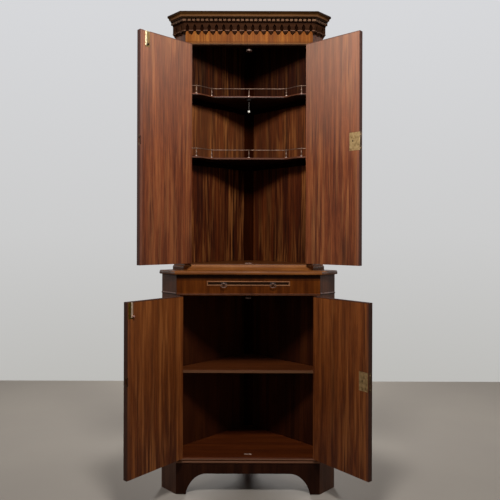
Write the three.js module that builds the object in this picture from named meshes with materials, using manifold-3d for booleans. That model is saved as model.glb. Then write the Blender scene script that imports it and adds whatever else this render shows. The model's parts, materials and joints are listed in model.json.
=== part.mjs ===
// Corner cupboard in two stages. The lower case has a pair of doors, a brushing slide above them and an
// arched plinth; the upper case has a pair of doors, two shaped shelves with brass galleries and a cornice.
// The unit is the millimetre, +Z is up, the front looks along -Y and the room's corner lies behind it.

import * as THREE from "three";
import { mergeVertices } from "three/addons/utils/BufferGeometryUtils.js";
import Module from "manifold-3d";

const wasm = await Module();
wasm.setup();

// Fits shared by all pieces
const seam = 0.3; // space left between pieces that meet at an angle or slide
const boltFit = 0.9; // play round a bolt in its socket or mortise
const overrun = 3; // how far a cut passes the surface that it opens

// Lower case in plan: a straight front between two cants that run back to the walls at 45 degrees
const baseFrontHalf = 296;
const baseCant = 70; // how far a cant goes sideways, and back
const baseStile = 12;
const baseBackBoard = 14;
const baseBackLift = 100; // from the floor to the back boards

// Upper case in plan, standing against the same walls
const upperSetback = 68; // from the front of the lower case to the front of the upper one
const upperCant = 49;
const upperStile = 15;
const upperBackBoard = 12;

// Boards of both cases
const cantBoard = 20;
const railDepth = 30; // frieze rails, front to back
const cornerStripHalf = 31; // half the width of the strip in the room's corner, on its rear face

// Heights of the stack, from the floor up
const plinthHeight = 128;
const sillHeight = 24;
const lowerOpening = 667;
const friezeHeight = 85;
const waistTopHeight = 16;
const baseMouldingHeight = 26;
const upperOpening = 926;
const upperRailHeight = 104;
const crownHeight = 24;
const topBoardHeight = 14;

// Plinth
const plinthBoard = 22;
const footWidth = 38; // from the arch to the front corner, at the floor
const archCurve = 85; // from the foot to the straight middle of the arch
const archHeight = 86;
const archShoulder = 58; // height to which the foot's side rises before it turns
const archLean = 6; // how far that side leans in
const archTurn = 36; // how far in the turn starts

// Sill of the lower doors
const sillBeadHeight = 8;
const sillBeadOut = 3;
const sillQuirk = 6; // plain band between the two beads

// Bead round the lower case, and the bead over the upper doors
const beadRise = 4; // from the bottom of the rail
const beadRadius = 3;
const topBeadRise = 6;
const topBeadRadius = 2.5;

// Nosing of the waist and moulding under the upper case
const nosingOut = 14;
const nosingLip = 3; // flat edge at the foot of the nosing's round
const mouldingFootOut = 10;
const mouldingFoot = 9;
const mouldingOvolo = 9; // height of the quarter round over the foot
const mouldingStepOut = 4;
const mouldingFillet = 2;

// Doors, the same build in both cases
const doorThickness = 20;
const doorSideGap = 1; // between the stile and the door's hinged edge
const doorMeetGap = 1.5;
const doorEndGap = 2; // above and below the door
const lowerRestAngle = 130;
const upperLeftRestAngle = 137;
const upperRightRestAngle = 140;

// Butt hinges
const pinOut = 3.6; // from the door's face to the pin's axis
const pinRadius = 1.4;
const boreRadius = 1.75;
const knuckleRadius = 3.1;
const hingeLength = 64;
const hingeLeaf = 1.5;
const hingeLeafWidth = 15;
const hingeFromEnd = 105; // from the door's end to the hinge
const knuckleCount = 5;
const knuckleSides = 10;

// Locks, let into the inner face of each right door
const lockWidth = 54;
const lockHeight = 72;
const lockDepth = 12;
const lockPlate = 2; // selvedge on the door's edge
const lockPlateWidth = 16;
const lockBoltHeight = 22;
const lockBoltThick = 6;
const lockBoltLength = 26;
const lockBoltThrow = 6.5;
const lockBoltIn = 3; // from the lock's inner face to its bolt
const lockBossRadius = 4.5;
const lockBossOut = 1.2;
const lockBossFromEdge = 38;
const strikeSpare = 2.5; // depth of the mortise beyond the thrown bolt
const keyholeRadius = 2.5;
const keyholeDrop = 9;
const keyholeSlot = 2.4;
const lowerLockHeight = 521; // centres above the floor
const upperLockHeight = 1438;

// Bolts at the top of each left door's inner face
const boltFromEdge = 18;
const boltPlateWidth = 28;
const boltPlateHeight = 62;
const boltPlateThick = 2;
const boltTopGap = 1; // from the door's top edge to the plate
const boltBarWidth = 10;
const boltBarThick = 4;
const boltBarLength = 58;
const boltStrapHeight = 6;
const boltStrapThick = 1.5;
const boltStrapWing = 4;
const boltStrapDrop = 6; // from the plate's top to the upper strap
const boltStrapStep = 22;
const boltKnobRadius = 4;
const boltKnobLength = 8;
const boltKnobRise = 4.5; // from the bar's lower end
const boltSocketDepth = 15;

// Stops behind the doors' upper meeting corners
const stopRadius = 13;
const stopDrop = 17;
const stopCrown = 6;

// Shelf in the lower case, housed in its boards
const lowerShelfTop = 497; // above the floor
const lowerShelfThick = 13;
const lowerShelfSetback = 62;
const shelfHousing = 5;

// Shelves in the upper case
const lowShelfTop = 1406; // above the floor
const highShelfTop = 1675;
const shelfThick = 10;
const shelfSetback = 78; // straight middle of the front edge
const shelfEndSetback = 23; // straight ends of the edge, next to the cants
const shelfEndLength = 51;
const shelfTurn = 18; // from each corner of the edge to the end of the turn that rounds it
const bearerHeight = 20;
const bearerThick = 14;

// Brass galleries
const galleryInset = 8;
const galleryRise = 34; // from the shelf to the rail's centre
const galleryRailRadius = 2;
const spindleFoot = 5;
const spindleNeck = 1.6;
const spindleBulb = 3.4;
const spindleFromBend = 5; // from the edge's inner corners to the inner spindles
const spindleFromCant = 39;
const galleryRailEndGap = 0.5;

// Brushing slide and its guide
const slideHalf = 171;
const slideThick = 20;
const slideRise = 39; // from the bottom of the rail
const slideBead = 2.4;
const slideRecess = 1.5;
const slideTongue = 8; // how far the guide's groove takes the slide's edge
const guideRail = 12; // wood beyond the slide's edge
const guideRear = 18; // thickness of the guide's rear rail
const slideRearGap = 8; // between the slide and that rail
const dustBoardThick = 10;
const dustBoardRise = 13; // from the bottom of the rail

// Drop pulls on the slide
const pullFromMiddle = 101;
const pullRoseRadius = 4.6;
const pullRoseThick = 1.5;
const pullNeckRadius = 2.6;
const pullReach = 9; // from the slide's face to the loop's axis
const pullBallRadius = 4.4;
const pullEyeRadius = 2.2;
const loopHalfWidth = 14;
const loopHalfDrop = 9;
const loopWireRadius = 1.3;

// Cornice over the upper case
const arcadeOut = 13;
const arcadeHeight = 31;
const archPitch = 30;
const lancetHalf = 9.2; // half the width of an arch where it springs
const lancetRise = 25;
const abacusHeight = 2;
const abacusOut = 2;
const abacusWing = 1.2;
const dropHeight = 10;
const dropEndHalf = 2;
const dropEndOut = 2;
const dentilOut = 24;
const dentilBackOut = 15;
const dentilBandHeight = 15;
const dentilHeight = 10.5;
const dentilPitch = 18.6;
const dentilGap = 4.6;
const crownOut = 43;
const crownFillet = 8.5;
const crownSoffitOut = 26;
const crownSoffit = 5;

// Pull cord under the high shelf
const switchRadius = 11;
const switchHeight = 9;
const switchFromEdge = 15; // from the shelf's front edge to the cord
const cordRadius = 1;
const cordLength = 40;
const beadSphere = 7.5;

// Facets
const roundSides = 16;
const smallSides = 8;
const arcSteps = 6;
const smallArcSteps = 4;
const loopSteps = 22;

// Turning a length by 45 degrees
const mitre = Math.tan(Math.PI / 8); // sideways move of a front corner for each unit of projection
const half = Math.SQRT1_2; // share of a length along a wall that counts in X and in Y

// Levels, from the floor
const sillZ = plinthHeight;
const lowerDoorsZ = sillZ + sillHeight;
const friezeZ = lowerDoorsZ + lowerOpening;
const waistZ = friezeZ + friezeHeight;
const upperZ = waistZ + waistTopHeight;
const upperDoorsZ = upperZ + baseMouldingHeight;
const upperRailZ = upperDoorsZ + upperOpening;
const crownZ = upperRailZ + upperRailHeight;
const dentilZ = crownZ - dentilBandHeight;
const arcadeZ = dentilZ - arcadeHeight;

// Plan of each case: front is the Y of its front plane, and the room's corner is shared
const roomCorner = baseFrontHalf + 2 * baseCant;

function makeCase(frontHalf, cant, stile, back) {
  const reach = (frontHalf + cant) / half;
  return { frontHalf, cant, stile, back, reach, front: roomCorner - frontHalf - 2 * cant };
}

const lowerCase = makeCase(baseFrontHalf, baseCant, baseStile, baseBackBoard);
const upperFrontHalf = roomCorner - 2 * upperCant - upperSetback;
const upperCase = makeCase(upperFrontHalf, upperCant, upperStile, upperBackBoard);

// Front corner of a case on one side, moved out by a projection and back from the mitre
function frontCorner(plan, side, out, back) {
  return [side * (plan.frontHalf + out * mitre - back), plan.front - out];
}

// Rear end of a cant's face on the wall, for the same projection
function cantTip(plan, side, out) {
  return [side * (plan.frontHalf + plan.cant + out * half), plan.front + plan.cant - out * half];
}

// Point at a distance along a wall from the room's corner, and at a distance in front of that wall
function wallPoint(side, along, inward) {
  return [side * (along - inward) * half, roomCorner - (along + inward) * half];
}

// Where a board's edge meets the inner face of the cant at a depth Y
function cantInnerX(plan, y) {
  return plan.frontHalf - cantBoard * mitre - seam + y - plan.front - cantBoard;
}

// Y of the corner strip's front face
function stripFront(plan) {
  return roomCorner - cornerStripHalf - plan.back * half;
}

// Rear corner of a board that fits inside a case
function innerRear(plan, side) {
  const clear = plan.back + seam;
  const along = (cornerStripHalf + plan.back * half + seam) / half - clear;
  return wallPoint(side, along, clear);
}

// Where a board that fits inside a case meets both the cant and the back
function innerCant(plan, side) {
  return wallPoint(side, plan.reach - cantBoard - seam, plan.back + seam);
}

// Closed outline from its right half, which is listed from front to rear
function mirrored(rightHalf) {
  const leftHalf = rightHalf.map(([x, y]) => [-x, y]).reverse();
  return [...rightHalf, ...leftHalf];
}

// Geometry helpers

function areaOf(points) {
  return THREE.ShapeUtils.area(points);
}

// Closed body through rings of points with equal counts, capped at both ends
function loft(rings) {
  const count = rings[0].length;
  const positions = rings.flat().flatMap((p) => p);
  const faces = [];
  for (let i = 0; i + 1 < rings.length; i++) {
    for (let j = 0; j < count; j++) {
      const next = (j + 1) % count;
      const a = i * count + j;
      const b = i * count + next;
      faces.push([a, b, b + count], [a, b + count, a + count]);
    }
  }
  addCap(rings[0], 0, true, faces);
  addCap(rings[rings.length - 1], (rings.length - 1) * count, false, faces);
  const geometry = new THREE.BufferGeometry();
  geometry.setAttribute("position", new THREE.Float32BufferAttribute(positions, 3));
  geometry.setIndex(faces.flat());
  return facedOut(geometry);
}

// Triangles over a flat ring, wound against or with the ring's own order
function addCap(ring, offset, against, faces) {
  const flat = flatRing(ring);
  const cap = THREE.ShapeUtils.triangulateShape(flat, []);
  const capArea = cap.reduce((sum, face) => sum + areaOf(face.map((k) => flat[k])), 0);
  const kept = Math.sign(capArea) === Math.sign(areaOf(flat)) * (against ? -1 : 1);
  for (const [a, b, c] of cap) {
    const order = kept ? [a, b, c] : [a, c, b];
    faces.push(order.map((k) => k + offset));
  }
}

// The ring's points in two dimensions, seen along the axis that its plane faces most
function flatRing(ring) {
  const normal = [0, 0, 0];
  ring.forEach((p, i) => {
    const q = ring[(i + 1) % ring.length];
    normal[0] += (p[1] - q[1]) * (p[2] + q[2]);
    normal[1] += (p[2] - q[2]) * (p[0] + q[0]);
    normal[2] += (p[0] - q[0]) * (p[1] + q[1]);
  });
  const size = normal.map(Math.abs);
  const drop = size.indexOf(Math.max(...size));
  const kept = [0, 1, 2].filter((k) => k !== drop);
  return ring.map((p) => new THREE.Vector2(p[kept[0]], p[kept[1]]));
}

// Turns every triangle round if the body is inside out
function facedOut(geometry) {
  const p = geometry.getAttribute("position");
  const index = geometry.getIndex().array;
  const [a, b, c] = [new THREE.Vector3(), new THREE.Vector3(), new THREE.Vector3()];
  let volume = 0;
  for (let i = 0; i < index.length; i += 3) {
    a.fromBufferAttribute(p, index[i]);
    b.fromBufferAttribute(p, index[i + 1]);
    c.fromBufferAttribute(p, index[i + 2]);
    volume += a.dot(b.cross(c));
  }
  if (volume < 0) {
    for (let i = 0; i < index.length; i += 3) {
      [index[i], index[i + 1]] = [index[i + 1], index[i]];
    }
  }
  return geometry;
}

function shapeOf(points) {
  return new THREE.Shape(points.map(([x, y]) => new THREE.Vector2(x, y)));
}

// Upright body over an outline in plan
function prism(points, z0, z1) {
  const options = { depth: z1 - z0, bevelEnabled: false, curveSegments: arcSteps };
  return new THREE.ExtrudeGeometry(shapeOf(points), options).translate(0, 0, z0);
}

// Box between two opposite corners, in any order
function box(x0, x1, y0, y1, z0, z1) {
  const size = new THREE.Vector3(Math.abs(x1 - x0), Math.abs(y1 - y0), Math.abs(z1 - z0));
  const geometry = new THREE.BoxGeometry(size.x, size.y, size.z);
  return geometry.translate((x0 + x1) / 2, (y0 + y1) / 2, (z0 + z1) / 2);
}

// Outline in X and Z, carried along Y from y0 to y1
function facePrism(shape, y0, y1) {
  const options = { depth: y1 - y0, bevelEnabled: false, curveSegments: smallArcSteps };
  return new THREE.ExtrudeGeometry(shape, options).rotateX(Math.PI / 2).translate(0, y1, 0);
}

function uprightCylinder(radius, z0, z1, sides) {
  const geometry = new THREE.CylinderGeometry(radius, radius, z1 - z0, sides);
  return geometry.rotateX(Math.PI / 2).translate(0, 0, (z0 + z1) / 2);
}

// Turned body about the Z axis from a profile of radius and height that starts and ends on the axis
function turned(profile, sides) {
  const points = profile.map(([r, z]) => new THREE.Vector2(r, z));
  return new THREE.LatheGeometry(points, sides).rotateX(Math.PI / 2);
}

// Points of an arc in a profile, both ends included
function arc(cx, cz, rx, rz, from, to, steps) {
  return Array.from({ length: steps + 1 }, (_, i) => {
    const angle = from + ((to - from) * i) / steps;
    return [cx + rx * Math.cos(angle), cz + rz * Math.sin(angle)];
  });
}

// Joins and cuts

function solid(geometry) {
  const bare = new THREE.BufferGeometry();
  bare.setAttribute("position", geometry.getAttribute("position"));
  if (geometry.getIndex()) {
    bare.setIndex(geometry.getIndex());
  }
  const merged = mergeVertices(bare);
  const vertProperties = new Float32Array(merged.getAttribute("position").array);
  const triVerts = new Uint32Array(merged.getIndex().array);
  return new wasm.Manifold(new wasm.Mesh({ numProp: 3, vertProperties, triVerts }));
}

function join(geometries) {
  return geometries.map(solid).reduce((whole, next) => whole.add(next));
}

function cut(whole, geometries) {
  return geometries.map(solid).reduce((rest, next) => rest.subtract(next), whole);
}

function geometryOf(manifold) {
  const mesh = manifold.getMesh();
  const geometry = new THREE.BufferGeometry();
  geometry.setAttribute("position", new THREE.Float32BufferAttribute(mesh.vertProperties, 3));
  geometry.setIndex(Array.from(mesh.triVerts));
  return geometry;
}

// Materials

function material(color, roughness, metalness) {
  return new THREE.MeshStandardMaterial({ color, roughness, metalness, flatShading: true });
}

const mahogany = material(0x8a4a26, 0.38, 0);
const paleMahogany = material(0xa9652f, 0.36, 0);
const stripedMahogany = material(0x6e3a1d, 0.42, 0);
const boardWood = material(0x5b3a22, 0.7, 0);
const brass = material(0xb8924a, 0.3, 0.9);
const darkPlastic = material(0x2b1d16, 0.5, 0);
const whitePlastic = material(0xece8de, 0.35, 0);
const cordFibre = material(0xd8d2c4, 0.8, 0);

const cupboard = new THREE.Group();

function addNode(parent, name, shape, surface) {
  const geometry = shape.isBufferGeometry ? shape : geometryOf(shape);
  const mesh = new THREE.Mesh(geometry, surface);
  mesh.name = name;
  parent.add(mesh);
  return mesh;
}

function sideName(side) {
  return side < 0 ? "left" : "right";
}

// Mouldings and case boards

// Body with a profile of [out, z] points, run along the front of a case
function frontRun(plan, profile) {
  const ring = (side) => profile.map(([out, z]) => [...frontCorner(plan, side, out, seam), z]);
  return loft([ring(-1), ring(1)]);
}

// Body with the same kind of profile, run along one cant
function cantRun(plan, side, profile) {
  const start = profile.map(([out, z]) => [...frontCorner(plan, side, out, 0), z]);
  const end = profile.map(([out, z]) => [...cantTip(plan, side, out), z]);
  return loft([start, end]);
}

// Body with the same kind of profile, run round the front and both cants
function ringRun(plan, profile) {
  const ring = (place) => profile.map(([out, z]) => [...place(out), z]);
  return loft([
    ring((out) => cantTip(plan, -1, out)),
    ring((out) => frontCorner(plan, -1, out, 0)),
    ring((out) => frontCorner(plan, 1, out, 0)),
    ring((out) => cantTip(plan, 1, out)),
  ]);
}

// Board over the whole plan of a case, with its front and cant edges shaped by a list of [out, z]
function mouldedBoard(plan, edge) {
  const rear = [cornerStripHalf, roomCorner - cornerStripHalf];
  const rings = edge.map(([out, z]) => {
    const outline = mirrored([frontCorner(plan, 1, out, 0), cantTip(plan, 1, out), rear]);
    return outline.map((p) => [...p, z]);
  });
  return loft(rings);
}

// Profile of a flat board with a half-round bead on its outer face
function beadedBoard(depth, z0, z1, beadZ, radius) {
  const bead = arc(0, beadZ, radius, radius, -Math.PI / 2, Math.PI / 2, arcSteps);
  return [[-depth, z0], [0, z0], ...bead, [0, z1], [-depth, z1]];
}

// Back board of a case on one wall
function backBoard(plan, side, z0, z1) {
  const near = cornerStripHalf / half + seam;
  const far = plan.reach - cantBoard - seam;
  const corners = [[near, 0], [far, 0], [far, plan.back], [near, plan.back]];
  return prism(corners.map(([along, inward]) => wallPoint(side, along, inward)), z0, z1);
}

// Narrow strip that closes the room's corner between the two back boards
function cornerStrip(plan, z0, z1) {
  const along = cornerStripHalf / half;
  return prism(mirrored([wallPoint(1, along, plan.back), wallPoint(1, along, 0)]), z0, z1);
}

// Cant board with the stile that the door hangs on, and housings for the hinges
function cantWithStile(plan, side, profile, openZ, openHeight, hingeZs) {
  const edge = plan.frontHalf - plan.stile;
  const stile = box(
    side * edge, side * plan.frontHalf, plan.front, plan.front + cantBoard, openZ, openZ + openHeight,
  );
  const housings = hingeZs.map((z) => box(
    side * (edge - overrun), side * (edge + hingeLeaf + seam),
    plan.front - overrun, plan.front + hingeLeafWidth + seam,
    z - seam, z + hingeLength + seam,
  ));
  return cut(join([cantRun(plan, side, profile), stile]), housings);
}

// Lower case

function sillProfileSteps() {
  const lowerBead = arc(
    0, sillZ + sillBeadHeight / 2, sillBeadOut, sillBeadHeight / 2, -Math.PI / 2, Math.PI / 2, arcSteps,
  );
  const upperHeight = sillHeight - sillBeadHeight - sillQuirk;
  const upperBead = arc(
    0, lowerDoorsZ - upperHeight / 2, sillBeadOut, upperHeight / 2, -Math.PI / 2, Math.PI / 2, arcSteps,
  );
  return [...lowerBead, ...upperBead];
}

// Bottom board of the lower case, with two beads along its front edge
function sillBoard() {
  const rings = sillProfileSteps().map(([out, z]) => {
    const outline = mirrored([
      frontCorner(lowerCase, 1, out, seam),
      frontCorner(lowerCase, 1, -cantBoard, seam),
      innerCant(lowerCase, 1),
      innerRear(lowerCase, 1),
    ]);
    return outline.map((p) => [...p, z]);
  });
  return loft(rings);
}

// Front of the plinth with its flat-topped arch
function plinth() {
  const profile = [[-plinthBoard, 0], [0, 0], [0, sillZ], [-plinthBoard, sillZ]];
  const archHalf = baseFrontHalf - footWidth;
  const archFlatHalf = archHalf - archCurve;
  const arch = new THREE.Shape();
  arch.moveTo(-archHalf, -overrun);
  arch.lineTo(-archHalf, 0);
  arch.bezierCurveTo(
    archLean - archHalf, archShoulder, archTurn - archHalf, archHeight, -archFlatHalf, archHeight,
  );
  arch.lineTo(archFlatHalf, archHeight);
  arch.bezierCurveTo(
    archHalf - archTurn, archHeight, archHalf - archLean, archShoulder, archHalf, 0,
  );
  arch.lineTo(archHalf, -overrun);
  return cut(solid(frontRun(lowerCase, profile)), [facePrism(arch, -overrun, plinthBoard + overrun)]);
}

// Outline of the straight shelf of the lower case, made larger by a margin
function lowerShelfOutline(margin) {
  const front = lowerCase.front + lowerShelfSetback;
  const wall = lowerCase.back - shelfHousing - margin;
  const strip = cornerStripHalf / half + wall + seam;
  return mirrored([
    [cantInnerX(lowerCase, front) + seam / 2, front - margin],
    wallPoint(1, lowerCase.reach - cantBoard - seam, wall),
    wallPoint(1, strip, wall),
    [cornerStripHalf - lowerCase.back * half - seam, stripFront(lowerCase) - seam],
  ]);
}

function lowerShelf() {
  return prism(lowerShelfOutline(0), lowerShelfTop - lowerShelfThick, lowerShelfTop);
}

// Back board of the lower case, grooved for the shelf
function groovedBack(side) {
  const board = backBoard(lowerCase, side, baseBackLift, waistZ);
  const inner = lowerCase.back - shelfHousing - seam;
  const ends = [-overrun, lowerCase.reach + overrun];
  const outer = lowerCase.back + overrun;
  const corners = [[ends[0], inner], [ends[1], inner], [ends[1], outer], [ends[0], outer]];
  const groove = prism(
    corners.map(([along, inward]) => wallPoint(side, along, inward)),
    lowerShelfTop - lowerShelfThick - seam,
    lowerShelfTop + seam,
  );
  return cut(solid(board), [groove]);
}

// Socket in a rail's underside for the bolt of the left door
function boltSocket(plan, z) {
  const middle = -(doorMeetGap / 2 + boltFromEdge + boltPlateWidth / 2);
  const wide = boltBarWidth / 2 + boltFit;
  const y = plan.front + doorThickness;
  return box(
    middle - wide, middle + wide, y, y + boltBarThick + boltFit, z - overrun, z + boltSocketDepth,
  );
}

// Rail over the lower doors, with the slot for the slide
function lowerFriezeRail() {
  const profile = beadedBoard(railDepth, friezeZ, waistZ, friezeZ + beadRise + beadRadius, beadRadius);
  const slot = box(
    -slideHalf - seam, slideHalf + seam,
    -overrun - beadRadius, railDepth + overrun,
    friezeZ + slideRise - seam, friezeZ + slideRise + slideThick + seam,
  );
  return cut(solid(frontRun(lowerCase, profile)), [slot, boltSocket(lowerCase, friezeZ)]);
}

// Board between the lower cupboard and the slide
function dustBoard() {
  const front = railDepth + seam;
  const z = friezeZ + dustBoardRise;
  const outline = mirrored([
    [cantInnerX(lowerCase, front), front],
    innerCant(lowerCase, 1),
    innerRear(lowerCase, 1),
  ]);
  return prism(outline, z, z + dustBoardThick);
}

// Y of the guide's rear, where its corners meet the back boards
function guideRearY() {
  return roomCorner - (lowerCase.back + seam) / half - slideHalf - guideRail;
}

// Frame behind the rail, grooved for the slide's edges
function slideGuide() {
  const inner = slideHalf - slideTongue;
  const outer = slideHalf + guideRail;
  const front = railDepth + seam;
  const guideDepth = guideRearY();
  const rear = guideDepth - guideRear;
  const bottom = friezeZ + dustBoardRise + dustBoardThick;
  const outline = [
    [-outer, front], [-inner, front], [-inner, rear], [inner, rear],
    [inner, front], [outer, front], [outer, guideDepth], [-outer, guideDepth],
  ];
  const groove = box(
    -slideHalf - seam, slideHalf + seam,
    front - overrun, rear,
    friezeZ + slideRise - seam, friezeZ + slideRise + slideThick + seam,
  );
  return cut(solid(prism(outline, bottom, waistZ)), [groove]);
}

// Slide with a bead along each edge of its front and a sunk band between them
function slideBoard() {
  const bottom = friezeZ + slideRise;
  const top = bottom + slideThick;
  const slideDepth = guideRearY() - guideRear - slideRearGap;
  const beadArc = (z) => arc(0, z, slideBead, slideBead, -Math.PI / 2, Math.PI / 2, arcSteps);
  const profile = [
    [-slideDepth, bottom],
    ...beadArc(bottom + slideBead),
    [-slideRecess, bottom + 2 * slideBead],
    [-slideRecess, top - 2 * slideBead],
    ...beadArc(top - slideBead),
    [-slideDepth, top],
  ];
  const ring = (x) => profile.map(([out, z]) => [x, -out, z]);
  return loft([ring(-slideHalf), ring(slideHalf)]);
}

// Stud of a drop pull: a rose, a neck and a drilled ball, about the Y axis through the origin
function pullPost() {
  const rose = pullRoseThick - slideRecess;
  const ball = arc(0, pullReach, pullBallRadius, pullBallRadius, -Math.PI / 3, Math.PI / 2, arcSteps);
  const profile = [
    [0, -slideRecess],
    [pullRoseRadius, -slideRecess],
    [pullRoseRadius, rose],
    [pullNeckRadius, rose],
    ...ball.slice(0, -1),
    [0, pullReach + pullBallRadius],
  ];
  const post = turned(profile, roundSides).rotateX(Math.PI / 2);
  const eye = new THREE.CylinderGeometry(
    pullEyeRadius, pullEyeRadius, 2 * (pullBallRadius + overrun), smallSides,
  );
  eye.rotateZ(Math.PI / 2).translate(0, -pullReach, 0);
  return cut(solid(post), [eye]);
}

// Oval loop, hung by the middle of its upper run at the origin
function pullLoop() {
  const ring = new THREE.TorusGeometry(loopHalfWidth - loopWireRadius, loopWireRadius, smallSides, loopSteps);
  const squash = (loopHalfDrop - loopWireRadius) / (loopHalfWidth - loopWireRadius);
  const place = ring.getAttribute("position");
  const wire = loopHalfWidth - loopWireRadius;
  for (let i = 0; i < place.count; i++) {
    const [x, z] = [place.getX(i), place.getY(i)];
    const away = Math.hypot(x, z);
    const share = wire / away;
    const onRing = [x * share, z * share * squash];
    const fromRing = [x - x * share, z - z * share];
    place.setXYZ(i, onRing[0] + fromRing[0], -place.getZ(i), onRing[1] + fromRing[1] - wire * squash);
  }
  return solid(ring);
}

// Upper case

// X of an upper shelf's front corner at the cant
function shelfEndX() {
  return cantInnerX(upperCase, upperCase.front + shelfEndSetback);
}

// X of the corner where the straight middle of the front edge turns forward by 45 degrees
function shelfBendX() {
  return shelfEndX() - shelfEndLength - (shelfSetback - shelfEndSetback);
}

// Points along the front edge of an upper shelf, from the middle to the right, with an inset
function shelfEdge(inset) {
  const y = upperCase.front + shelfSetback + inset;
  const endY = upperCase.front + shelfEndSetback + inset;
  const bendX = shelfBendX() + inset * mitre;
  const outerX = bendX + y - endY;
  const slant = shelfTurn * half;
  const bend = new THREE.QuadraticBezierCurve(
    new THREE.Vector2(bendX - shelfTurn, y),
    new THREE.Vector2(bendX, y),
    new THREE.Vector2(bendX + slant, y - slant),
  );
  const outer = new THREE.QuadraticBezierCurve(
    new THREE.Vector2(outerX - slant, endY + slant),
    new THREE.Vector2(outerX, endY),
    new THREE.Vector2(outerX + shelfTurn, endY),
  );
  const turns = [...bend.getPoints(smallArcSteps), ...outer.getPoints(smallArcSteps)];
  return [...turns.map((p) => [p.x, p.y]), [cantInnerX(upperCase, endY), endY]];
}

function upperShelf(top) {
  const outline = mirrored([...shelfEdge(0), innerCant(upperCase, 1), innerRear(upperCase, 1)]);
  return prism(outline, top - shelfThick, top);
}

// Strip of wood under a shelf, along both back boards and the corner strip
function shelfBearer(top) {
  const near = upperCase.back + seam;
  const rearY = stripFront(upperCase) - seam;
  const innerY = rearY - bearerThick;
  const innerX = roomCorner - (near + bearerThick) / half - innerY;
  const far = upperCase.reach - cantBoard - seam;
  const outline = mirrored([
    [innerX, innerY],
    wallPoint(1, far, near + bearerThick),
    wallPoint(1, far, near),
    innerRear(upperCase, 1),
  ]);
  return prism(outline, top - shelfThick - bearerHeight, top - shelfThick);
}

// Y of the gallery's centre line at a distance from the middle
function galleryY(x) {
  const edge = shelfEdge(galleryInset);
  const next = edge.findIndex((p) => p[0] >= Math.abs(x));
  if (next <= 0) {
    return edge[0][1];
  }
  const [a, b] = [edge[next - 1], edge[next]];
  return a[1] + ((b[1] - a[1]) * (Math.abs(x) - a[0])) / (b[0] - a[0]);
}

// Turned spindle from the shelf to the rail
function spindle(top) {
  const z = (share) => top + galleryRise * share;
  const profileShares = [0, 0.06, 0.12, 0.34, 0.5, 0.66, 0.84, 1];
  const radii = [spindleFoot, spindleFoot, spindleNeck, spindleNeck, spindleBulb, spindleNeck, spindleNeck,
    spindleBulb];
  const profile = profileShares.map((share, i) => [radii[i], z(share)]);
  return turned([[0, top], ...profile, [0, top + galleryRise + spindleBulb]], smallSides);
}

// Round rail along a level line of points
function levelRail(line, z, radius) {
  const section = arc(0, 0, radius, radius, 0, 2 * Math.PI, smallSides).slice(1);
  return loft(line.map(([x, y], i) => {
    const [before, after] = [line[Math.max(i - 1, 0)], line[Math.min(i + 1, line.length - 1)]];
    const along = new THREE.Vector2(after[0] - before[0], after[1] - before[1]).normalize();
    return section.map(([side, up]) => [x - along.y * side, y + along.x * side, z + up]);
  }));
}

// Brass rail on five spindles, along the front of a shelf
function gallery(top) {
  const edge = shelfEdge(galleryInset);
  const last = edge[edge.length - 1];
  last[0] -= galleryRailRadius + galleryRailEndGap;
  const line = [...edge.map(([x, y]) => [-x, y]).reverse(), ...edge];
  const rail = levelRail(line, top + galleryRise, galleryRailRadius);
  const inner = shelfBendX() + spindleFromBend;
  const outer = shelfEndX() - spindleFromCant;
  const places = [-outer, -inner, 0, inner, outer];
  const posts = places.map((x) => spindle(top).translate(x, galleryY(x), 0));
  return join([rail, ...posts]);
}

function upperFriezeRail() {
  const profile = beadedBoard(
    railDepth, upperRailZ, crownZ, upperRailZ + topBeadRise + topBeadRadius, topBeadRadius,
  );
  return cut(solid(frontRun(upperCase, profile)), [boltSocket(upperCase, upperRailZ)]);
}

// Edge of the board under the upper case: a foot, a quarter round, a step and a small round
function baseMouldingEdge() {
  const foot = upperZ + mouldingFoot;
  const step = foot + mouldingOvolo;
  const round = upperDoorsZ - step - mouldingFillet;
  return [
    [mouldingFootOut, upperZ],
    ...arc(
      mouldingStepOut, foot, mouldingFootOut - mouldingStepOut, mouldingOvolo, 0, Math.PI / 2, arcSteps,
    ),
    [mouldingStepOut, step + mouldingFillet],
    ...arc(0, step + mouldingFillet, mouldingStepOut, round, 0, Math.PI / 2, arcSteps).slice(1),
  ];
}

// Rounded edge of the board over the slide
function nosingEdge() {
  const rise = waistTopHeight - nosingLip;
  const lip = waistZ + nosingLip;
  const round = nosingOut - nosingLip;
  const shape = arc(round - nosingLip, lip, 2 * nosingLip, rise, 0, Math.PI / 2, arcSteps);
  return [[round, waistZ], ...shape];
}

// Cornice

// Places along a run between two ends, one in the middle of each of its equal parts
function bayMiddles(length, count) {
  return Array.from({ length: count }, (_, i) => (length * (i + 0.5)) / count);
}

// Marks between equal parts of a run, its ends left out
function partings(length, count) {
  return Array.from({ length: count - 1 }, (_, i) => (length * (i + 1)) / count);
}

// The three straight faces of a canted ring at a projection: start, direction and length
function ringFaces(plan, out) {
  const stops = [
    cantTip(plan, -1, out),
    frontCorner(plan, -1, out, 0),
    frontCorner(plan, 1, out, 0),
    cantTip(plan, 1, out),
  ];
  return stops.slice(1).map((stop, i) => {
    const start = new THREE.Vector3(...stops[i], 0);
    const along = new THREE.Vector3(...stop, 0).sub(start);
    return { start, length: along.length(), turn: Math.atan2(along.y, along.x) };
  });
}

// Cutters of one outline, set along each face of a ring
function cuttersAlong(faces, places, cutter) {
  return faces.flatMap((face) => places(face.length).map((at) => {
    const geometry = cutter().translate(at, 0, 0);
    return geometry.rotateZ(face.turn).translate(face.start.x, face.start.y, 0);
  }));
}

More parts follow.
